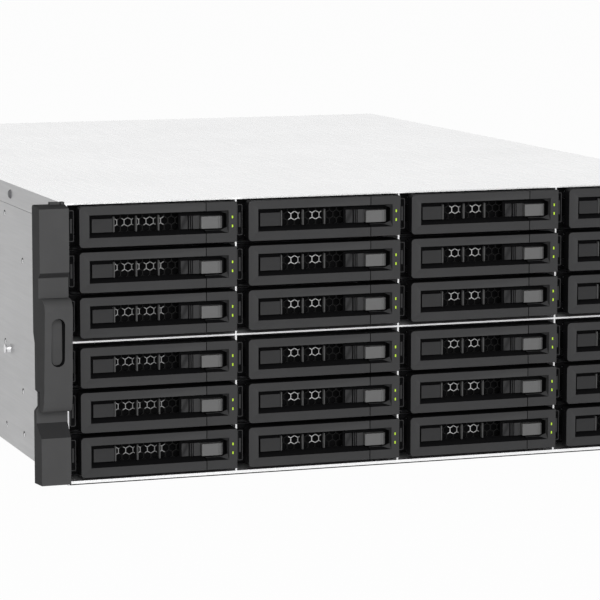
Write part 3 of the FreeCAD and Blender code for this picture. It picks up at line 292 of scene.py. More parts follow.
def new_material(name, colour, roughness, metallic=0.0, specular=0.5):
    made = bpy.data.materials.new(name)
    made.use_nodes = True
    shader = made.node_tree.nodes["Principled BSDF"]
    shader.inputs["Base Color"].default_value = (*colour, 1)
    shader.inputs["Roughness"].default_value = roughness
    shader.inputs["Metallic"].default_value = metallic
    shader.inputs["Specular IOR Level"].default_value = specular
    return made, made.node_tree, shader


def noise(tree, scale, detail=3.0, stretch=(1, 1, 1)):
    """Noise over the object's own coordinates, stretched for a brushed look where asked."""
    place = tree.nodes.new("ShaderNodeTexCoord")
    mapping = tree.nodes.new("ShaderNodeMapping")
    mapping.inputs["Scale"].default_value = stretch
    texture = tree.nodes.new("ShaderNodeTexNoise")
    texture.inputs["Scale"].default_value = scale
    texture.inputs["Detail"].default_value = detail
    tree.links.new(place.outputs["Object"], mapping.inputs["Vector"])
    tree.links.new(mapping.outputs["Vector"], texture.inputs["Vector"])
    return texture.outputs["Fac"]


def spread(tree, source, low, high, target):
    """Maps noise from 0.3-0.7 to a range of a socket."""
    ranged = tree.nodes.new("ShaderNodeMapRange")
    ranged.inputs["From Min"].default_value = 0.3
    ranged.inputs["From Max"].default_value = 0.7
    ranged.inputs["To Min"].default_value = low
    ranged.inputs["To Max"].default_value = high
    tree.links.new(source, ranged.inputs["Value"])
    tree.links.new(ranged.outputs["Result"], target)


def two_colours(tree, shader, low, high):
    """Gives the shader a mix of two colours, and returns the socket that takes their share."""
    mix = tree.nodes.new("ShaderNodeMix")
    mix.data_type = "RGBA"
    mix.inputs[6].default_value = (*low, 1)
    mix.inputs[7].default_value = (*high, 1)
    tree.links.new(mix.outputs[2], shader.inputs["Base Color"])
    return mix.inputs["Factor"]


def vary_colour(tree, source, shader, colour, amount):
    """Mottles the colour a little each way."""
    low = [c * (1 - amount) for c in colour]
    high = [min(1, c * (1 + amount)) for c in colour]
    spread(tree, source, 0, 1, two_colours(tree, shader, low, high))


def bump(tree, source, shader, depth, strength):
    relief = tree.nodes.new("ShaderNodeBump")
    relief.inputs["Distance"].default_value = depth
    relief.inputs["Strength"].default_value = strength
    tree.links.new(source, relief.inputs["Height"])
    tree.links.new(relief.outputs["Normal"], shader.inputs["Normal"])


def plastic(name, colour, roughness, grain=2600, depth=0.00003, strength=0.25, specular=0.15):
    """Moulded plastic with a fine spark-eroded grain."""
    made, tree, shader = new_material(name, colour, roughness, specular=specular)
    vary_colour(tree, noise(tree, 60, 4), shader, colour, 0.05)
    fine = noise(tree, grain, 2)
    spread(tree, fine, roughness - 0.05, roughness + 0.07, shader.inputs["Roughness"])
    bump(tree, fine, shader, depth, strength)
    return made


def sheet_metal(name, colour, roughness, metallic, stretch=(1, 1, 1), strength=0.12):
    """Bare rolled sheet with faint rolling lines and soft blotches."""
    made, tree, shader = new_material(name, colour, roughness, metallic)
    vary_colour(tree, noise(tree, 14, 5), shader, colour, 0.025)
    lines = noise(tree, 700, 3, stretch)
    spread(tree, lines, roughness - 0.06, roughness + 0.06, shader.inputs["Roughness"])
    bump(tree, lines, shader, 0.00002, strength)
    return made


def band(tree, source, low, high, soft=0.3):
    """One between two places, in mm, and nought outside."""
    sides = []
    for edge, sign in ((low, 1), (high, -1)):
        step = tree.nodes.new("ShaderNodeMapRange")
        step.inputs["From Min"].default_value = (edge - sign * soft) * MM
        step.inputs["From Max"].default_value = (edge + sign * soft) * MM
        tree.links.new(source, step.inputs["Value"])
        sides.append(step.outputs["Result"])
    return blend(tree, "MULTIPLY", *sides)


def blend(tree, operation, first, second):
    both = tree.nodes.new("ShaderNodeMath")
    both.operation = operation
    tree.links.new(first, both.inputs[0])
    tree.links.new(second, both.inputs[1])
    return both.outputs[0]


def mesh_steel_with_painted_reflection(name, spans, bright):
    """Nearly black steel, with a painted reflection on some hexagons of the row behind the windows' middle.
    """
    made, tree, shader = new_material(name, (0.01, 0.01, 0.01), 0.4, 0.8, 0.1)
    place_node = tree.nodes.new("ShaderNodeTexCoord")
    split = tree.nodes.new("ShaderNodeSeparateXYZ")
    tree.links.new(place_node.outputs["Object"], split.inputs["Vector"])
    parts = [band(tree, split.outputs["X"], low, high) for low, high in spans]
    whole = parts[0]
    for part in parts[1:]:
        whole = blend(tree, "MAXIMUM", whole, part)
    whole = blend(tree, "MULTIPLY", whole, band(tree, split.outputs["Z"], *BRIGHT_ROW))
    tree.links.new(whole, two_colours(tree, shader, [0.013] * 3, [bright] * 3))
    fine = noise(tree, 1500, 2)
    spread(tree, fine, 0.35, 0.5, shader.inputs["Roughness"])
    bump(tree, fine, shader, 0.00002, 0.2)
    return made


BEZEL = plastic("bezel_plastic", (0.047, 0.047, 0.048), 0.55)
PAD_PAINTED_SHADE = plastic("pad_plastic_painted_shade", (0.034, 0.034, 0.035), 0.5)
EAR = plastic("ear_plastic", (0.088, 0.088, 0.089), 0.7, specular=0.03)
EAR_PAINTED_SHADE = plastic("ear_painted_shade", (0.04, 0.04, 0.041), 0.7, specular=0.03)
BUTTON = plastic("button_plastic", (0.14, 0.14, 0.14), 0.4, specular=0.4)
RIB_GREY = plastic("rib_plastic", (0.09, 0.09, 0.09), 0.4)
BLACK = plastic("black_plastic", (0.006, 0.006, 0.0065), 0.7, specular=0.05)
COVER = sheet_metal("cover_steel", (0.94, 0.94, 0.945), 0.28, 0.85, (1, 0.03, 1), 0.03)
SIDE_PAINTED_SHADE = sheet_metal("side_steel_painted_shade", (0.54, 0.54, 0.545), 0.42, 0.5, (1, 0.03, 1), 0.03)
CAGE = sheet_metal("cage_steel", (0.8, 0.8, 0.81), 0.35, 0.6)
# Painted reflection on the mesh: the height of the row of hexagons that carries it, and its spans across the
# windows; the first column's mesh carries it on more hexagons, dimmer
BRIGHT_ROW = (11.2, 16.6)
RINGS = ((35.4, 43.4), (49.6, 57.6))
LEFT_RINGS = RINGS + ((29.0, 32.8), (44.4, 46.9), (58.9, 62.6))
MESH = mesh_steel_with_painted_reflection("mesh_steel", RINGS, 0.5)
MESH_LEFT = mesh_steel_with_painted_reflection("mesh_steel_left", LEFT_RINGS, 0.25)
CASTING = sheet_metal("drive_casting", (0.3, 0.3, 0.31), 0.5, 0.7)
STEEL = sheet_metal("screw_steel", (0.7, 0.7, 0.71), 0.3, 0.9)
BOARD = plastic("board_green", (0.012, 0.07, 0.03), 0.45, grain=900)
FAN = plastic("fan_plastic", (0.02, 0.02, 0.021), 0.5)
ALUMINIUM = sheet_metal("aluminium", (0.72, 0.73, 0.74), 0.35, 0.85)
RIBBON_GREY_AND_SCREW_SHADE = plastic("ribbon_grey_and_screw_shade", (0.22, 0.22, 0.23), 0.5)
SEAM_PAINTED_SHADE = sheet_metal("seam_painted_shade", (0.4, 0.4, 0.405), 0.45, 0.5)
TAB = plastic("tab_plastic", (0.02, 0.09, 0.16), 0.4, specular=0.4)


def lamp_material():
    """The lit indicator: yellow-green, faintly glowing and mottled a little."""
    made, tree, shader = new_material("light_pipe", (0.5, 0.75, 0.04), 0.3)
    shader.inputs["Emission Color"].default_value = (0.55, 0.85, 0.03, 1)
    shader.inputs["Emission Strength"].default_value = 0.16
    vary_colour(tree, noise(tree, 900, 2), shader, (0.5, 0.75, 0.04), 0.08)
    return made


LAMP = lamp_material()


# Placing


def place(name, mesh, materials, body, slot, at=(0, 0, 0), stands_for=()):
    """An object of the mesh, riding on a body."""
    thing = bpy.data.objects.new(name, mesh)
    if not mesh.materials:
        for material in materials:
            mesh.materials.append(material)
    thing.location = [value * MM for value in at]
    bpy.context.scene.collection.objects.link(thing)
    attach(thing, body)
    if stands_for:
        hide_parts(*stands_for)
    return thing


def with_parts(meshes):
    """Several meshes as one, keeping each one's own material number."""
    shape = bmesh.new()
    for number, mesh in enumerate(meshes):
        for face in mesh.polygons:
            face.material_index = number
        shape.from_mesh(mesh)
    made = bpy.data.meshes.new("parts")
    shape.to_mesh(made)
    shape.free()
    return made


def bay_place(row, column):
    z = TOP_BEZEL - ROW_PITCH * row - (SHELF_EXTRA if row >= ROWS / 2 else 0)
    return ((column - COLUMNS / 2) * PITCH, FACE_Y, z)


# Tray pieces, in the bay's own frame


def blacken_ends(mesh):
    """Paints the faces at the top and the foot of a bezel black, as painted shade between the rows."""
    paint_facing(mesh, 1, lambda middle, normal: abs(normal.z) > 0.9 and not 0.5 < middle.z < 24.5)


def bezel_mesh():
    """The lever's frame: rounded left corners, deep recess, pad, slats and the button's tongue."""
    corner, chamfer_x, chamfer_y = 2.2, 7.4, 7.7
    face_y, back_y = PAD_Y
    shell = prism("y", 0, BEZEL_DEPTH,
                  rounded((BEZEL_LOW_X, 0), (SEAM, BEZEL_HIGH), corner, 6, (True, False, False, True)))
    shell = cut(shell, box((RECESS_LOW_X, SEAM + 1), (-1, RECESS_DEPTH), (RECESS_LOW, RECESS_HIGH)))
    wedge = prism("x", RECESS_LOW_X, SEAM,
                  [(0, RECESS_LOW), (RECESS_DEPTH, RECESS_LOW), (RECESS_DEPTH, WINDOW_LOW)])
    pad = box(PAD_X, PAD_Y, PAD_Z)
    tongue = box((SEAM - 1, BUTTON_HIGH_X), (RECESS_DEPTH, BEZEL_DEPTH), TONGUE_Z)
    hinge_block = box(HINGE_BLOCK_X, HINGE_BLOCK_Y, HINGE_BLOCK_Z)
    step = box((BLOCK_LOW_X, STEP_HIGH_X), (face_y + 1, back_y), PAD_Z)
    slats = [box(span, PAD_Y, PAD_Z) for span in SLATS_X]
    slat_back = box(SLAT_BACK_X, (face_y + 1.3, back_y), PAD_Z)
    shell = join(shell, wedge, pad, tongue, hinge_block, step, *slats, slat_back)
    outside_x, outside_y = BEZEL_LOW_X - 1, BEZEL_DEPTH + 0.5
    room_to_swing = prism("z", -1, BEZEL_HIGH + 1, [
        (outside_x, chamfer_y), (BEZEL_LOW_X, chamfer_y), (chamfer_x, BEZEL_DEPTH),
        (chamfer_x, outside_y), (outside_x, outside_y)])
    shell = cut(shell, room_to_swing)
    windows = []
    for i in range(WINDOWS):
        left = WINDOW_LOW_X + i * (WINDOW_WIDTH + RIB)
        windows.append(box((left, left + WINDOW_WIDTH), (5, 10), (WINDOW_LOW, WINDOW_HIGH)))
    shell = cut(shell, *windows)
    # Painted shade: the recess inside, the faces behind the front, and below, the top, the foot and the side
    # faces at the left edge and at the seam are black; the fronts in the pad's plane, but the last slat's,
    # take the darker pad plastic
    paint(shell, [
        (1, region((RECESS_LOW_X - 0.1, SEAM + 20), (0.2, 9.5), (RECESS_LOW - 0.1, RECESS_HIGH + 0.1))),
        (2, region((12.5, SEAM), (face_y - 0.1, face_y + 1.1), (PAD_LOW - 0.1, PAD_HIGH + 0.1))),
        (1, region((0, SEAM + 20), (BEZEL_DEPTH + 0.05, 20), (-1, 26))),
        (0, region((SLATS_X[2][0] - 0.1, SEAM), (face_y - 0.1, face_y + 0.1), PAD_Z)),
    ])
    blacken_ends(shell)
    paint_facing(shell, 1, lambda middle, normal: middle.x < BEZEL_LOW_X + 2.5 and normal.x < -0.3)
    paint_facing(shell, 1, lambda middle, normal: middle.x > SEAM - 0.1 and normal.x > 0.9)
    return dressed(shell, 0.3)


def rib_mesh():
    """The upright ribs left of each window."""
    ribs = []
    for i in range(WINDOWS):
        right = WINDOW_LOW_X + i * (WINDOW_WIDTH + RIB)
        across = (right - RIB + 0.15, right - 0.15)
        ribs.append(dressed(box(across, (4.6, 7.1), (WINDOW_LOW + 0.2, WINDOW_HIGH - 0.4)), 0.4, 3))
    return with_parts(ribs)


def funnel(outer, outer_y, inner, inner_y):
    """A cavity from a mouth with four corners to an end with six."""
    shape = bmesh.new()
    mouth = [shape.verts.new((x, outer_y, z)) for x, z in outer]
    bottom = [shape.verts.new((x, inner_y, z)) for x, z in inner]
    shape.faces.new(mouth)
    shape.faces.new(bottom)
    shape.faces.new((mouth[0], mouth[1], bottom[1], bottom[0]))
    shape.faces.new((mouth[1], bottom[2], bottom[1]))
    shape.faces.new((mouth[1], mouth[2], bottom[3], bottom[2]))
    shape.faces.new((mouth[2], bottom[4], bottom[3]))
    shape.faces.new((mouth[2], mouth[3], bottom[5], bottom[4]))
    shape.faces.new((mouth[3], mouth[0], bottom[0], bottom[5]))
    return finished(shape)


def fixed_end_mesh():
    """The bezel right of the seam: slanted recess end with cut corners, and a rounded well; the well, the
    recess's floor and ceiling, the top and foot and the side at the seam are black as painted shade.
    """
    outer = box((SEAM + SEAM_GAP, BEZEL_HIGH_X), (0, WALL_FRONT), (0, BEZEL_HIGH))
    left, right = SEAM - 2, RECESS_HIGH_X - 0.36
    low, high = RECESS_LOW + 1.6, RECESS_HIGH - 1.0
    slant = 3.2
    mouth = [(left, RECESS_LOW), (RECESS_HIGH_X, RECESS_LOW),
             (RECESS_HIGH_X, RECESS_HIGH), (left, RECESS_HIGH)]
    end = [(left, low), (right - 5, low), (right, low + 2),
           (right, high - 1.6), (right - 4, high), (left, high)]
    slanted = funnel(mouth, -0.01, end, slant)
    well_outline = rounded((left, low + 0.2), (right - 0.05, high), 1.6, 4, (False, True, True, False))
    well = prism("y", slant - 0.2, 9.3, well_outline)
    bore_x = (PIPE_X[0] - 0.1, PIPE_X[1] + 0.1)
    bores = [box(bore_x, (-1, WALL_FRONT + 1), (z - BORE_HALF, z + BORE_HALF)) for z in PIPES_Z]
    shell = cut(outer, slanted, well, *bores)
    for face in shell.polygons:
        x, y, z = face.center
        in_recess = x < RECESS_HIGH_X and 0.1 < y < WALL_FRONT - 0.1 and RECESS_LOW <= z <= RECESS_HIGH
        if in_recess and (y > slant + 0.05 or abs(face.normal.z) > 0.8):
            face.material_index = 1
    blacken_ends(shell)
    paint_facing(shell, 1, lambda middle, normal: middle.x < SEAM + 0.6 and normal.x < -0.9)
    return dressed(shell, 0.15)


def lamp_mesh():
    """The two light pipes in the fixed end."""
    pipes = [box(PIPE_X, (0.05, WALL_FRONT - 0.1), (z - PIPE_HALF, z + PIPE_HALF)) for z in PIPES_Z]
    return dressed(join(*pipes), 0.15)


def button_mesh():
    """The release button: a broad face, a fine groove and a bevelled step at its right."""
    outline = [
        (BUTTON_LOW_X, 1.5), (95.6, 1.5), (95.7, 1.9), (96.0, 1.9), (96.1, 1.6), (97.2, 1.6),
        (BUTTON_HIGH_X, 2.6), (BUTTON_HIGH_X, RECESS_DEPTH), (BUTTON_LOW_X, RECESS_DEPTH)]
    return dressed(prism("z", PAD_LOW + 0.2, PAD_HIGH - 0.5, outline), 0.3, 3, 40)


def mesh_sheet():
    """Dark steel sheet punched with hexagons, with a flange along its top and its foot."""
    pitch, web = 4.71, 0.45
    radius = (pitch - web) / math.sqrt(3)
    middle_x, middle_z = 48.9, 13.88
    across, front, flange = (14, 86), 9.6, 0.8
    low, high = 4.2, 20.84
    plate = join(box(across, (front, front + 0.5), (low, high)),
                 box(across, (front, WALL_FRONT), (low, low + flange)),
                 box(across, (front, WALL_FRONT), (high - flange, high)))
    holes = []
    for row in range(-2, 2):
        for column in range(-7, 8):
            x = middle_x + (column + (0.5 if row % 2 else 0)) * pitch
            z = middle_z + row * pitch * math.sqrt(3) / 2
            if across[0] + 2.5 < x < across[1] - 2.5:
                holes.append(prism("y", front - 0.6, front + 1.4, ring((x, z), radius, 6, math.pi / 6)))
    return dressed(cut(plate, *holes), 0.12, 1)


def carrier_mesh():
    """Front wall with its window, two rails with slots, and the hinge's lugs."""
    rail = (RAIL_OUTER, RAIL_INNER)
    far_rail = (PITCH - RAIL_INNER, PITCH - RAIL_OUTER)
    rail_y, rail_z = (17.5, TRAY_BACK), (0.5, 19.0)
    wall = box((RAIL_OUTER, PITCH - RAIL_OUTER), (WALL_FRONT, 18), (0.5, BEZEL_HIGH - 0.5))
    window = box((14, 86), (15, 19), (5.0, 20.04))
    shell = join(
        cut(wall, window),
        box(rail, rail_y, rail_z),
        box(far_rail, rail_y, rail_z),
        box(rail, (LUG_Y[0], 16.5), (LUGS_Z[0][0], LUGS_Z[1][1])),
        *[box((RAIL_OUTER, PIN_X), LUG_Y, span) for span in LUGS_Z],
        *[rod("z", low, high, (PIN_X, PIN_Y), 2.6) for low, high in LUGS_Z],
    )
    slots = []
    for x in (1, 105):
        for y in (48, 78, 108, 138):
            slots.append(prism("x", x, x + 3.5, rounded((y - 6, 6), (y + 6, 13), 2.5)))
    return dressed(cut(shell, *slots), 0.25)


def bracket_mesh():
    """The strip beside the hinge: a fine raised rim, a square notch at each end and a grey bar between."""
    low, high, rim_width = (1.6, 2.7), (5.2, 22.3), 0.5
    outline = rounded(low, high, 0.8, 3)
    inner_outline = rounded((low[0] + rim_width, low[1] + rim_width),
                            (high[0] - rim_width, high[1] - rim_width), 0.6, 3)
    plate = prism("y", 10.9, LUG_Y[0], outline)
    rim = cut(prism("y", 10.5, 11.2, outline), prism("y", 10, 12, inner_outline))
    bar = box((2.7, 4.0), (10.6, 12.0), (8.0, 17.0))
    notches = [box((2.3, 4.2), (10, 12), (z, z + 3.2)) for z in (4.0, 17.9)]
    shape = join(cut(plate, *notches), rim, bar)
    # The rim's front and the bar's front are the lighter bezel plastic; on the rim it is a painted highlight
    # along the plate's edge
    paint(shape, [(1, region((2.6, 4.1), (10.55, 10.7), (7.9, 17.1))),
                  (1, region((1.5, 5.6), (10.4, 10.55), (2.6, 22.4)))])
    return dressed(shape, 0.08, 1)


def drive_mesh():
    """A 3.5-inch drive: cast base, raised lid with a motor boss, and its case screws."""
    left, right = RAIL_INNER, PITCH - RAIL_INNER
    front, foot, shoulder, top = 20, -1.3, 24.0, 24.8
    motor, boss_radius, groove_radius = (left + 50, 110), 26, 29
    base = prism("z", foot, shoulder, rounded((left, front), (right, TRAY_BACK), 1.5, 4))
    lid_outline = rounded((left + 2, front + 4), (right - 2, TRAY_BACK - 4), 4, 5)
    lid = prism("z", shoulder - 0.1, top, lid_outline)
    boss = rod("z", 24.2, top, motor, boss_radius, 48)
    groove = cut(rod("z", 24.3, 25.5, motor, groove_radius, 48), rod("z", 24, 26, motor, boss_radius, 48))
    body = join(cut(join(base, lid), groove), boss)
    screws = [(x, y) for y in (28, 92, 158) for x in (10, 99)]
    body = cut(body, *[rod("z", 24.2, 26, spot, 2.2, 16) for spot in screws])
    # Painted shade: the drive's front faces are black
    paint(body, [(1, region((0, 110), (front - 1, front + 7), (-2, 26))),
                 (2, region((left + 19, left + 81), (80, 140), (24.1, 25)))])
    return dressed(body, 0.35)


def pin_mesh():
    """The lever's hinge pin."""
    return dressed(rod("z", 2.0, 23.04, (PIN_X, PIN_Y), 1.2, 24), 0.25)


TRAY_PIECES = (
    ("carrier", carrier_mesh(), [BLACK], "black_plastic"),
    ("bracket", bracket_mesh(), [BLACK, BEZEL], "black_plastic"),
    ("fixed_end", fixed_end_mesh(), [BEZEL, BLACK], "bezel_plastic"),
    ("lights", lamp_mesh(), [LAMP], "light_pipe"),
    ("drive", drive_mesh(), [CASTING, BLACK, STEEL], "drive_casting"),
    ("pin", pin_mesh(), [STEEL], "mesh_steel"),
)
LEVER_PIECES = (
    ("bezel", bezel_mesh(), [BEZEL, BLACK, PAD_PAINTED_SHADE], "bezel_plastic"),
    ("ribs", rib_mesh(), [RIB_GREY], "button_plastic"),
    ("button", button_mesh(), [BUTTON], "button_plastic"),
)


def fill_bays():
    """The pieces of every tray and lever, with the mesh of the first column brighter on its left, a painted
    reflection.
    """
    sheet = mesh_sheet()
    left_sheet = sheet.copy()
    kinds = ((TRAY_PIECES, "tray_", "drive_tray_"), (LEVER_PIECES, "lever_", "tray_lever_"))
    for row in range(ROWS):
        for column in range(COLUMNS):
            bay = "row%d_col%d" % (row + 1, column + 1)
            at = bay_place(row, column)
            for pieces, body, node in kinds:
                for name, mesh, materials, slot in pieces:
                    place("%s_%s" % (name, bay), mesh, materials, body + bay, slot, at, [node + bay])
            face_sheet, steel = (sheet, MESH) if column else (left_sheet, MESH_LEFT)
            place("mesh_" + bay, face_sheet, [steel], "tray_" + bay, "mesh_steel", at, ["drive_tray_" + bay])


# Rack ears


def ear_z(share):
    return EAR_LOW + share * EAR_HEIGHT


def grip_profile(front, back, foot, top, gap_high):
    """The grip's outline seen from the side: a rounded head, a curved foot and the gap behind it."""
    bend, steps = 7, 6
    turns = [0.5 * math.pi * i / steps for i in range(steps + 1)]
    head = [(front + bend * (1 - math.sin(t)), top - bend * (1 - math.cos(t))) for t in turns]
    low = front + 2.5
    curved_foot = [
        (low, foot + 11), (low + 0.35, foot + 7), (low + 1.1, foot + 3.7), (low + 2.4, foot + 1.3),
        (low + 4.5, foot)]
    return head + curved_foot + [(front + 9.5, foot), (front + 9.5, gap_high), (back, gap_high), (back, top)]


def ear_cover():
    """Left ear: two plateaus, slopes, the grip with its oblong recess, waist and foot notch."""
    foot, top = EAR_LOW + 0.9, EAR_LOW + EAR_HEIGHT
    outer, inner = -RACK_HALF, -221.0
    through = (-245, -218)
    plateau, back, grip_front = FACE_Y - 6.1, FACE_Y + EAR_BACK, FACE_Y - 13.5
    before = plateau - 1
    upper_floor, lower_floor = FACE_Y - 3.5, FACE_Y + 1.7
    notch_low, gap_high = ear_z(0.2837), ear_z(0.3412)
    grip_low, grip_high = ear_z(0.27), ear_z(0.6726)
    upper_recess = ear_z(0.741)
    lower_recess, lower_high = ear_z(0.2234), ear_z(0.1746)
    side_edge = [
        (outer, notch_low - 3), (outer + NOTCH, notch_low), (outer + NOTCH, gap_high - 1.5),
        (outer + WAIST, gap_high), (outer + WAIST, ear_z(0.5078)), (outer, ear_z(0.548))]
    rounded_corner = [(outer, top - 1.4), (outer + 0.4, top - 0.4), (outer + 1.4, top)]
    base = prism("y", plateau, back,
                 [(inner, foot), (outer, foot)] + side_edge + rounded_corner + [(inner, top)])
    upper_carving = prism("x", *through, [
        (before, grip_high - 4), (upper_floor, grip_high - 4), (upper_floor, upper_recess),
        (upper_floor - 0.2, upper_recess + 0.7), (plateau + 0.3, upper_recess + 3.0),
        (plateau, upper_recess + 3.9), (before, upper_recess + 3.9)])
    lower_carving = prism("x", *through, [
        (before, lower_high), (plateau, lower_high), (lower_floor, lower_recess),
        (lower_floor, gap_high), (before, gap_high)])
    top_chamfer = prism("x", *through, [
        (before, top - 2), (plateau, top - 2), (back + 1, top), (back + 1, top + 1), (before, top + 1)])
    shell = cut(base, upper_carving, lower_carving, top_chamfer)
    grip = prism("x", outer, inner, grip_profile(grip_front, back, grip_low, grip_high, gap_high))
    tabs = [box(span, (back - 1.5, back + 2.5), (top - 3, top + 1)) for span in EAR_TABS_X]
    shell = join(shell, grip, *tabs)
    side = prism("z", -1, 180, [
        (outer - 1, back), (outer, back), (outer + 2.9, grip_front - 1), (outer - 1, grip_front - 1)])
    waist = prism("y", FACE_Y, back + 1,
                  [(outer - 1, notch_low - 3)] + side_edge + [(outer - 1, ear_z(0.548))])
    centre, half = outer + 11.2, 4.2
    oblong_low, oblong_high = ear_z(0.434), ear_z(0.606)
    step_y, well_y, step = grip_front + 2.6, grip_front + 6, 0.5
    oblong = prism("y", grip_front - 1, step_y,
                   rounded((centre - half, oblong_low), (centre + half, oblong_high), half - 0.01, 8))
    well = prism("y", grip_front, well_y,
                 rounded((centre - half + step, oblong_low + step),
                         (centre + half - step, oblong_high - step), half - step - 0.01, 8))
    shell = cut(shell, side, waist, oblong, well)
    # Painted shade: the oblong's walls and the step round its well are black, and the slope under the upper
    # plateau, the slope above the lower plateau and the top chamfer take the darker ear plastic
    for face in shell.polygons:
        x, y, z = face.center
        lean, rise = face.normal.y, face.normal.z
        in_oblong = abs(x - centre) < half + 0.1 and y < well_y - 0.1 and oblong_low - 1 < z < oblong_high + 1
        on_upper = rise < -0.3 and plateau < y < upper_floor + 0.1 and 0 < z - upper_recess < 3.5
        on_lower = rise > 0.3 and plateau < y < lower_floor and lower_high < z < lower_recess
        on_top = z > top - 2 and lean < -0.1 and rise > 0.1
        if in_oblong and (abs(lean) < 0.5 or y > step_y - 0.1):
            face.material_index = 1
        elif on_upper or on_lower or on_top:
            face.material_index = 2
        else:
            face.material_index = 0
    return shell


def ear_bracket():
    """The steel flange behind the cover, with its rack holes and the leg along the side wall."""
    front, sheet = FACE_Y + EAR_BACK, 3
    flange = box((-236.1, -TUB_HALF), (front, front + sheet), (EAR_LOW, 174.7))
    leg = box((-TUB_HALF - 1.5, -TUB_HALF), (front, front + 55), (10.6, 161.8))
    holes = [rod("y", front - 1.3, front + 4.7, (-RACK_HOLE_X, z), 3.3, 24) for z in RACK_HOLES_Z]
    return cut(join(flange, leg), *holes)


def mirrored(mesh):
    """The mesh on the other side of the middle plane."""
    twin = mesh.copy()
    twin.transform(Matrix.Scale(-1, 4, Vector((1, 0, 0))))
    twin.flip_normals()
    return twin


def fit_ears():
    """Both ears: a moulded cover on a steel bracket."""
    cover, bracket = ear_cover(), ear_bracket()
    node = ["rack_ears"]
    pairs = (("left", cover, bracket), ("right", mirrored(cover), mirrored(bracket)))
    for side, front, steel in pairs:
        skin = [EAR, BLACK, EAR_PAINTED_SHADE]
        place("ear_cover_" + side, dressed(front, 0.45, 3), skin, "chassis", "ear_plastic", stands_for=node)
        # The bracket takes the darker side steel, painted shade as on the side walls
        place("ear_bracket_" + side, dressed(steel, 0.2), [SIDE_PAINTED_SHADE], "chassis", "bare_steel", stands_for=node)


fill_bays()
fit_ears()

# Pieces that keep the CAD's form, with rounded edges and several materials

def slim(mesh, beyond, share, height, middle_of):
    """Narrows what stands out of the side walls, about each piece's own axis."""
    for vertex in mesh.vertices:
        x, y, z = vertex.co
        if abs(x) > beyond:
            middle = middle_of(y)
            vertex.co = (x, middle + share * (y - middle), height + share * (z - height))


def slim_screws(mesh):
    """Narrows the cover's side screws to the photograph's."""
    first = FRONT_Y + SCREW_INSET
    slim(mesh, BODY_HALF + 0.05, 0.65, SCREW_Z,
         lambda y: first + SCREW_STEP * round((y - first) / SCREW_STEP))


def slim_studs(mesh):
    """Narrows the rail studs to the photograph's."""
    slim(mesh, TUB_HALF + 0.05, 0.72, STUD_Z, lambda y: STUDS_Y[0] if y < 0 else STUDS_Y[1])


def in_a_port(middle, normal):
    """Whether a face is the bottom of one of the rear ports."""
    return normal.y > 0.9 and 294 < middle.y < 311.9 and -86 < middle.x < 63 and 9.4 < middle.z < 26


RESHAPED = {"chassis_tub": slim_studs, "top_cover": slim_screws}


def redress(node, body, slot, materials, rules, width=0.25, smooth=True):
    """A copy of a CAD node's mesh with softened edges, painted by boxes."""
    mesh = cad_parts[node].data.copy()
    mesh.materials.clear()
    mesh.transform(Matrix.Scale(1 / MM, 4))
    if node in RESHAPED:
        RESHAPED[node](mesh)
    for face in mesh.polygons:
        face.material_index = 0
    paint(mesh, rules)
    if node == "mainboard":
        paint_facing(mesh, 3, in_a_port)
    place(node + "_dressed", dressed(mesh, width, 2, 35, smooth), materials, body, slot, stands_for=[node])


def both_sides(number, reach, y=OPEN, z=OPEN):
    """Rules for what lies past a distance to the left and to the right of the middle."""
    return [(number, region((-FAR, -reach), y, z)), (number, region((reach, FAR), y, z))]


def redress_shell():
    """The cover and the tub, of bare sheet with their screws and studs; their sides and rear take a darker
    copy of the steel as painted shade.
    """
    # Painted shade: the cover's side folds and rear, and the tub's outside, take the darker side steel
    redress("top_cover", "chassis", "cover_steel", [COVER, SIDE_PAINTED_SHADE, STEEL, RIBBON_GREY_AND_SCREW_SHADE],
            both_sides(1, BODY_HALF - 0.1, z=(-FAR, BODY_TOP - 0.5))
            + [(1, region(y=(REAR_Y - 0.25, FAR), z=(-FAR, BODY_TOP - 0.7))),
               (2, region(y=(REAR_Y + 0.05, FAR)))]
            # Painted shade: the cover's side screws are dark grey
            + both_sides(3, BODY_HALF + 0.05, z=(SCREW_Z - 6, SCREW_Z + 5)), 0.4)
    within = TUB_HALF - 0.2
    beside_bays = {"y": (-FAR, -140), "z": (1.3, 174.9)}
    redress("chassis_tub", "chassis", "bare_steel", [SIDE_PAINTED_SHADE, CAGE, STEEL, BLACK],
            [(1, region((-within, within), (-FAR, TUB_REAR - 0.35), (0.5, FAR)))]
            + both_sides(2, TUB_HALF + 0.1)
            # Painted shade: the tub's inner walls beside the bays are black
            + [(3, region((0.1 - TUB_INNER, -205), **beside_bays)),
               (3, region((205, TUB_INNER - 0.1), **beside_bays))], smooth=False)


def redress_bays():
    """The drive cage and the backplane: bare dividers and shelf, the rest of the cage, runners included,
    black as painted shade, and black plugs.
    """
    # Painted shade: all of the cage but the shelf and the dividers is black
    above_and_below = [(1, region(z=(-FAR, SHELF_Z - 2))), (1, region(z=(SHELF_Z + 3, FAR)))]
    dividers = [(0, region((x - 0.75, x + 0.75))) for x in (-PITCH, 0, PITCH)]
    redress("drive_cage", "chassis", "bare_steel", [CAGE, BLACK], above_and_below + dividers, 0.1)
    redress("drive_backplane", "chassis", "circuit_board", [BOARD, BLACK],
            [(1, region(y=(-FAR, CAGE_REAR - 0.05))), (1, region(y=(CAGE_REAR + 2.45, FAR)))], 0.15)


def redress_fans():
    redress("fan_wall", "chassis", "fan_plastic", [CAGE, FAN], [(1, region(y=(-96.4, FAR)))], 0.5)
    for side in ("left", "middle", "right"):
        redress("fan_rotor_" + side, "rotor_" + side, "fan_plastic", [FAN], [], 0.3)


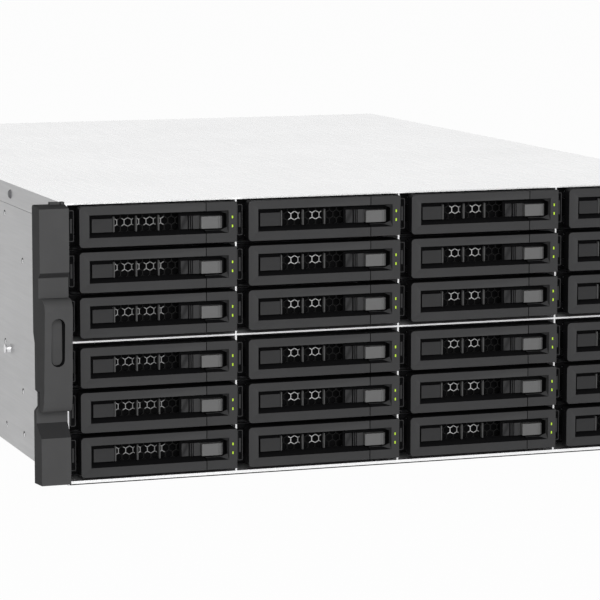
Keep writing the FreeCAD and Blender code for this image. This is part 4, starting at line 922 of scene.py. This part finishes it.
def redress_mainboard():
    """Steel standoffs and ports, aluminium fins, black sockets and grey cables on the green board."""
    green, steel, fins, black, cable = range(5)
    cooler_base, socket_z = (9.35, 10.6), (9.35, 18.4)
    processor, chipset = ((-41, 52), (71, 165)), ((134, 175), (219, 261))
    plug_board_x = (-218, -143)
    rules = [
        (steel, region(y=(40, FAR), z=(-FAR, 7.6))),
        (fins, region(*processor, (10.65, 61))), (black, region(*processor, cooler_base)),
        (fins, region(*chipset, (10.65, 21))), (black, region(*chipset, cooler_base)),
        (black, region((78, 114), (58, 192), socket_z)),
        (steel, region((-86, 63), (293.5, FAR), (9.35, 26))),
        (steel, region((-91, 72), (312, FAR))),
        (cable, region(y=(-FAR, 44.8))),
        (black, region((-200, 200), (44.9, 53), socket_z)),
        (cable, region((-175, -150), (-FAR, 119.3))),
        (green, region(plug_board_x, (119.2, 121.05))),
        (black, region(plug_board_x, (121.1, 129))),
    ]
    redress("mainboard", "chassis", "circuit_board", [BOARD, STEEL, ALUMINIUM, BLACK, RIBBON_GREY_AND_SCREW_SHADE],
            rules, 0.15, False)


def redress_supplies():
    """Each supply: bright case, black inlet and handle, steel blades, coloured tab, green plug."""
    behind = (314.3, FAR)
    for level, low in SUPPLIES:
        rules = [
            (1, region((-211.5, -183.5), (296.5, 314.3), (low + 5.5, low + 26.5))),
            (2, region((-206, -189), (297.3, 312.3), (low + 10.5, low + 21.5))),
            (1, region((-178.5, -147), behind, (low + 31, low + 37))),
            (3, region((-160, -149), behind, (low + 2, low + 8))),
            (4, region((-211, -149), (129, 138.1), (low + 5.5, low + 8))),
        ]
        redress("power_supply_" + level, "supply_" + level, "supply_metal",
                [ALUMINIUM, BLACK, STEEL, TAB, BOARD], rules, 0.3)


def button_head(radius, height):
    """A domed rivet on the side wall, its axis along X."""
    rings = [(radius * 1.25, 0.0), (radius * 1.25, height * 0.2), (radius, height * 0.25),
             (radius * 0.9, height * 0.7), (radius * 0.6, height * 0.95)]
    shape = bmesh.new()
    turns = 20
    loops = []
    for reach, rise in rings:
        loops.append([shape.verts.new((rise, y, z)) for y, z in ring((0, 0), reach, turns)])
    for low, high in zip(loops, loops[1:]):
        for i in range(turns):
            shape.faces.new((low[i], low[(i + 1) % turns], high[(i + 1) % turns], high[i]))
    shape.faces.new(loops[0])
    tip = shape.verts.new((height, 0, 0))
    for i in range(turns):
        shape.faces.new((loops[-1][i], loops[-1][(i + 1) % turns], tip))
    return finished(shape)


def fit_rivets():
    """Shallow rivets on both sides, each on a black disc of painted shade, and a grey strip of painted shade
    in the seam under each fold.
    """
    dome = button_head(1.25, 0.3)
    dome.transform(Matrix.Translation((0, -0.5, -0.4)))
    # Painted shade: the black disc round each rivet's head
    head = with_parts([dome, rod("x", 0, 0.06, (0, 0), 2.1, 24)])
    strip = box((TUB_HALF, TUB_HALF + 0.35), (FRONT_Y + 1, REAR_Y - 2), (161.4, 163))
    sides = (("left", -TUB_HALF, dressed(mirrored(head), 0)), ("right", TUB_HALF, dressed(head, 0)))
    for number, (y, z) in enumerate(RIVETS):
        for side, x, rivet in sides:
            name = "rivet_%s_%d" % (side, number)
            place(name, rivet, [STEEL, BLACK], "chassis", "bare_steel", (x, y, z))
    right_strip = dressed(strip, 0)
    place("seam_right", right_strip, [SEAM_PAINTED_SHADE], "chassis", "bare_steel")
    place("seam_left", mirrored(right_strip), [SEAM_PAINTED_SHADE], "chassis", "bare_steel")


def fit_lip():
    """The base's folded front lip, with a black strip under it as painted shadow."""
    x = (-TUB_INNER, TUB_INNER)
    fold = box(x, (FRONT_Y - 0.4, FRONT_Y + 0.6), (0.75, 2.6))
    # Painted shadow: the black strip under the fold
    gap = box(x, (FRONT_Y - 0.3, FRONT_Y + 0.4), (0.1, 0.75))
    lip = dressed(with_parts([fold, gap]), 0.05, 1)
    place("base_lip", lip, [COVER, BLACK], "chassis", "bare_steel")


redress_shell()
redress_bays()
redress_fans()
redress_mainboard()
redress_supplies()
fit_rivets()
fit_lip()


# Camera, floor and light


def aim_camera():
    """The photograph's viewpoint: a long lens from the front left, with its image shifted."""
    azimuth, elevation, roll = [math.radians(angle) for angle in (-18.270, 7.656, -0.112)]
    level = math.cos(elevation)
    back = Vector((math.sin(azimuth) * level, -math.cos(azimuth) * level, math.sin(elevation)))
    right = (-back).cross(Vector((0, 0, 1))).normalized()
    up = right.cross(-back)
    across = right * math.cos(roll) + up * math.sin(roll)
    upward = -right * math.sin(roll) + up * math.cos(roll)
    data = bpy.data.cameras.new("camera")
    data.sensor_width = SENSOR
    data.lens = FOCAL_PX * SENSOR / PHOTO_PX
    data.shift_x = (PHOTO_PX / 2 - CENTRE_PX[0]) / PHOTO_PX
    data.shift_y = (CENTRE_PX[1] - PHOTO_PX / 2) / PHOTO_PX
    data.clip_start = 0.05
    data.clip_end = 60
    camera = bpy.data.objects.new("camera", data)
    turn = Matrix((across, upward, back)).transposed().to_4x4()
    camera.matrix_world = Matrix.Translation(Vector(CAMERA_AT)) @ turn
    bpy.context.scene.collection.objects.link(camera)
    bpy.context.scene.camera = camera


def seen_directly(tree):
    """One for rays from the camera, off a glossy surface or through a clear one, else nought."""
    path = tree.nodes.new("ShaderNodeLightPath")
    whole = path.outputs["Is Camera Ray"]
    for kind in ("Is Glossy Ray", "Is Transmission Ray"):
        whole = blend(tree, "MAXIMUM", whole, path.outputs[kind])
    return whole


def end_in_mix(tree, share, first, second, output):
    """Ends the tree in a mix of two shaders."""
    mix = tree.nodes.new("ShaderNodeMixShader")
    out = tree.nodes.new(output)
    for source, target in zip((share, first.outputs[0], second.outputs[0]), mix.inputs):
        tree.links.new(source, target)
    tree.links.new(mix.outputs[0], out.inputs["Surface"])


def lay_floor():
    """A pale floor that shows white to the camera and keeps a faint shadow."""
    mesh = bpy.data.meshes.new("floor")
    half = 12
    mesh.from_pydata([(-half, -half, 0), (half, -half, 0), (half, half, 0), (-half, half, 0)],
                     [], [(0, 1, 2, 3)])
    floor = bpy.data.objects.new("floor", mesh)
    floor.location = (0, 0, -0.0005)
    bpy.context.scene.collection.objects.link(floor)
    made = bpy.data.materials.new("floor")
    made.use_nodes = True
    tree = made.node_tree
    tree.nodes.clear()
    matt = tree.nodes.new("ShaderNodeBsdfDiffuse")
    matt.inputs["Color"].default_value = (0.85, 0.85, 0.85, 1)
    glow = tree.nodes.new("ShaderNodeEmission")
    glow.inputs["Strength"].default_value = 1.0
    share = tree.nodes.new("ShaderNodeMath")
    share.operation = "MULTIPLY"
    share.inputs[1].default_value = 0.975
    tree.links.new(seen_directly(tree), share.inputs[0])
    end_in_mix(tree, share.outputs[0], matt, glow, "ShaderNodeOutputMaterial")
    mesh.materials.append(made)


def light_world():
    """A soft grey room: white to the camera and in reflections, with a darker ceiling."""
    world = bpy.data.worlds.new("studio")
    bpy.context.scene.world = world
    world.use_nodes = True
    tree = world.node_tree
    tree.nodes.clear()
    soft = tree.nodes.new("ShaderNodeBackground")
    soft.inputs["Strength"].default_value = 0.2
    white = tree.nodes.new("ShaderNodeBackground")
    white.inputs["Color"].default_value = (1, 1, 1, 1)
    direction = tree.nodes.new("ShaderNodeTexCoord")
    split = tree.nodes.new("ShaderNodeSeparateXYZ")
    ceiling = tree.nodes.new("ShaderNodeMapRange")
    ceiling.inputs["From Min"].default_value = 0.55
    ceiling.inputs["From Max"].default_value = 0.95
    ceiling.inputs["To Min"].default_value = 1.0
    ceiling.inputs["To Max"].default_value = 0.3
    tree.links.new(direction.outputs["Generated"], split.inputs["Vector"])
    tree.links.new(split.outputs["Z"], ceiling.inputs["Value"])
    tree.links.new(ceiling.outputs["Result"], white.inputs["Strength"])
    end_in_mix(tree, seen_directly(tree), soft, white, "ShaderNodeOutputWorld")


def hang_lamp(name, place_at, target, size, power):
    data = bpy.data.lights.new(name, "AREA")
    data.shape = "SQUARE"
    data.size = size
    data.energy = power
    lamp = bpy.data.objects.new(name, data)
    lamp.location = place_at
    lamp.rotation_mode = "QUATERNION"
    lamp.rotation_quaternion = (Vector(target) - Vector(place_at)).to_track_quat("-Z", "Y")
    bpy.context.scene.collection.objects.link(lamp)


aim_camera()
lay_floor()
light_world()
hang_lamp("front_lamp", (-0.75, -4.1, 1.3), (0, -0.3, 0.1), 2.4, 114)
hang_lamp("top_lamp", (0.2, 0.3, 3.4), (0, 0, 0), 2.4, 8)
bpy.context.scene.view_settings.view_transform = "Standard"
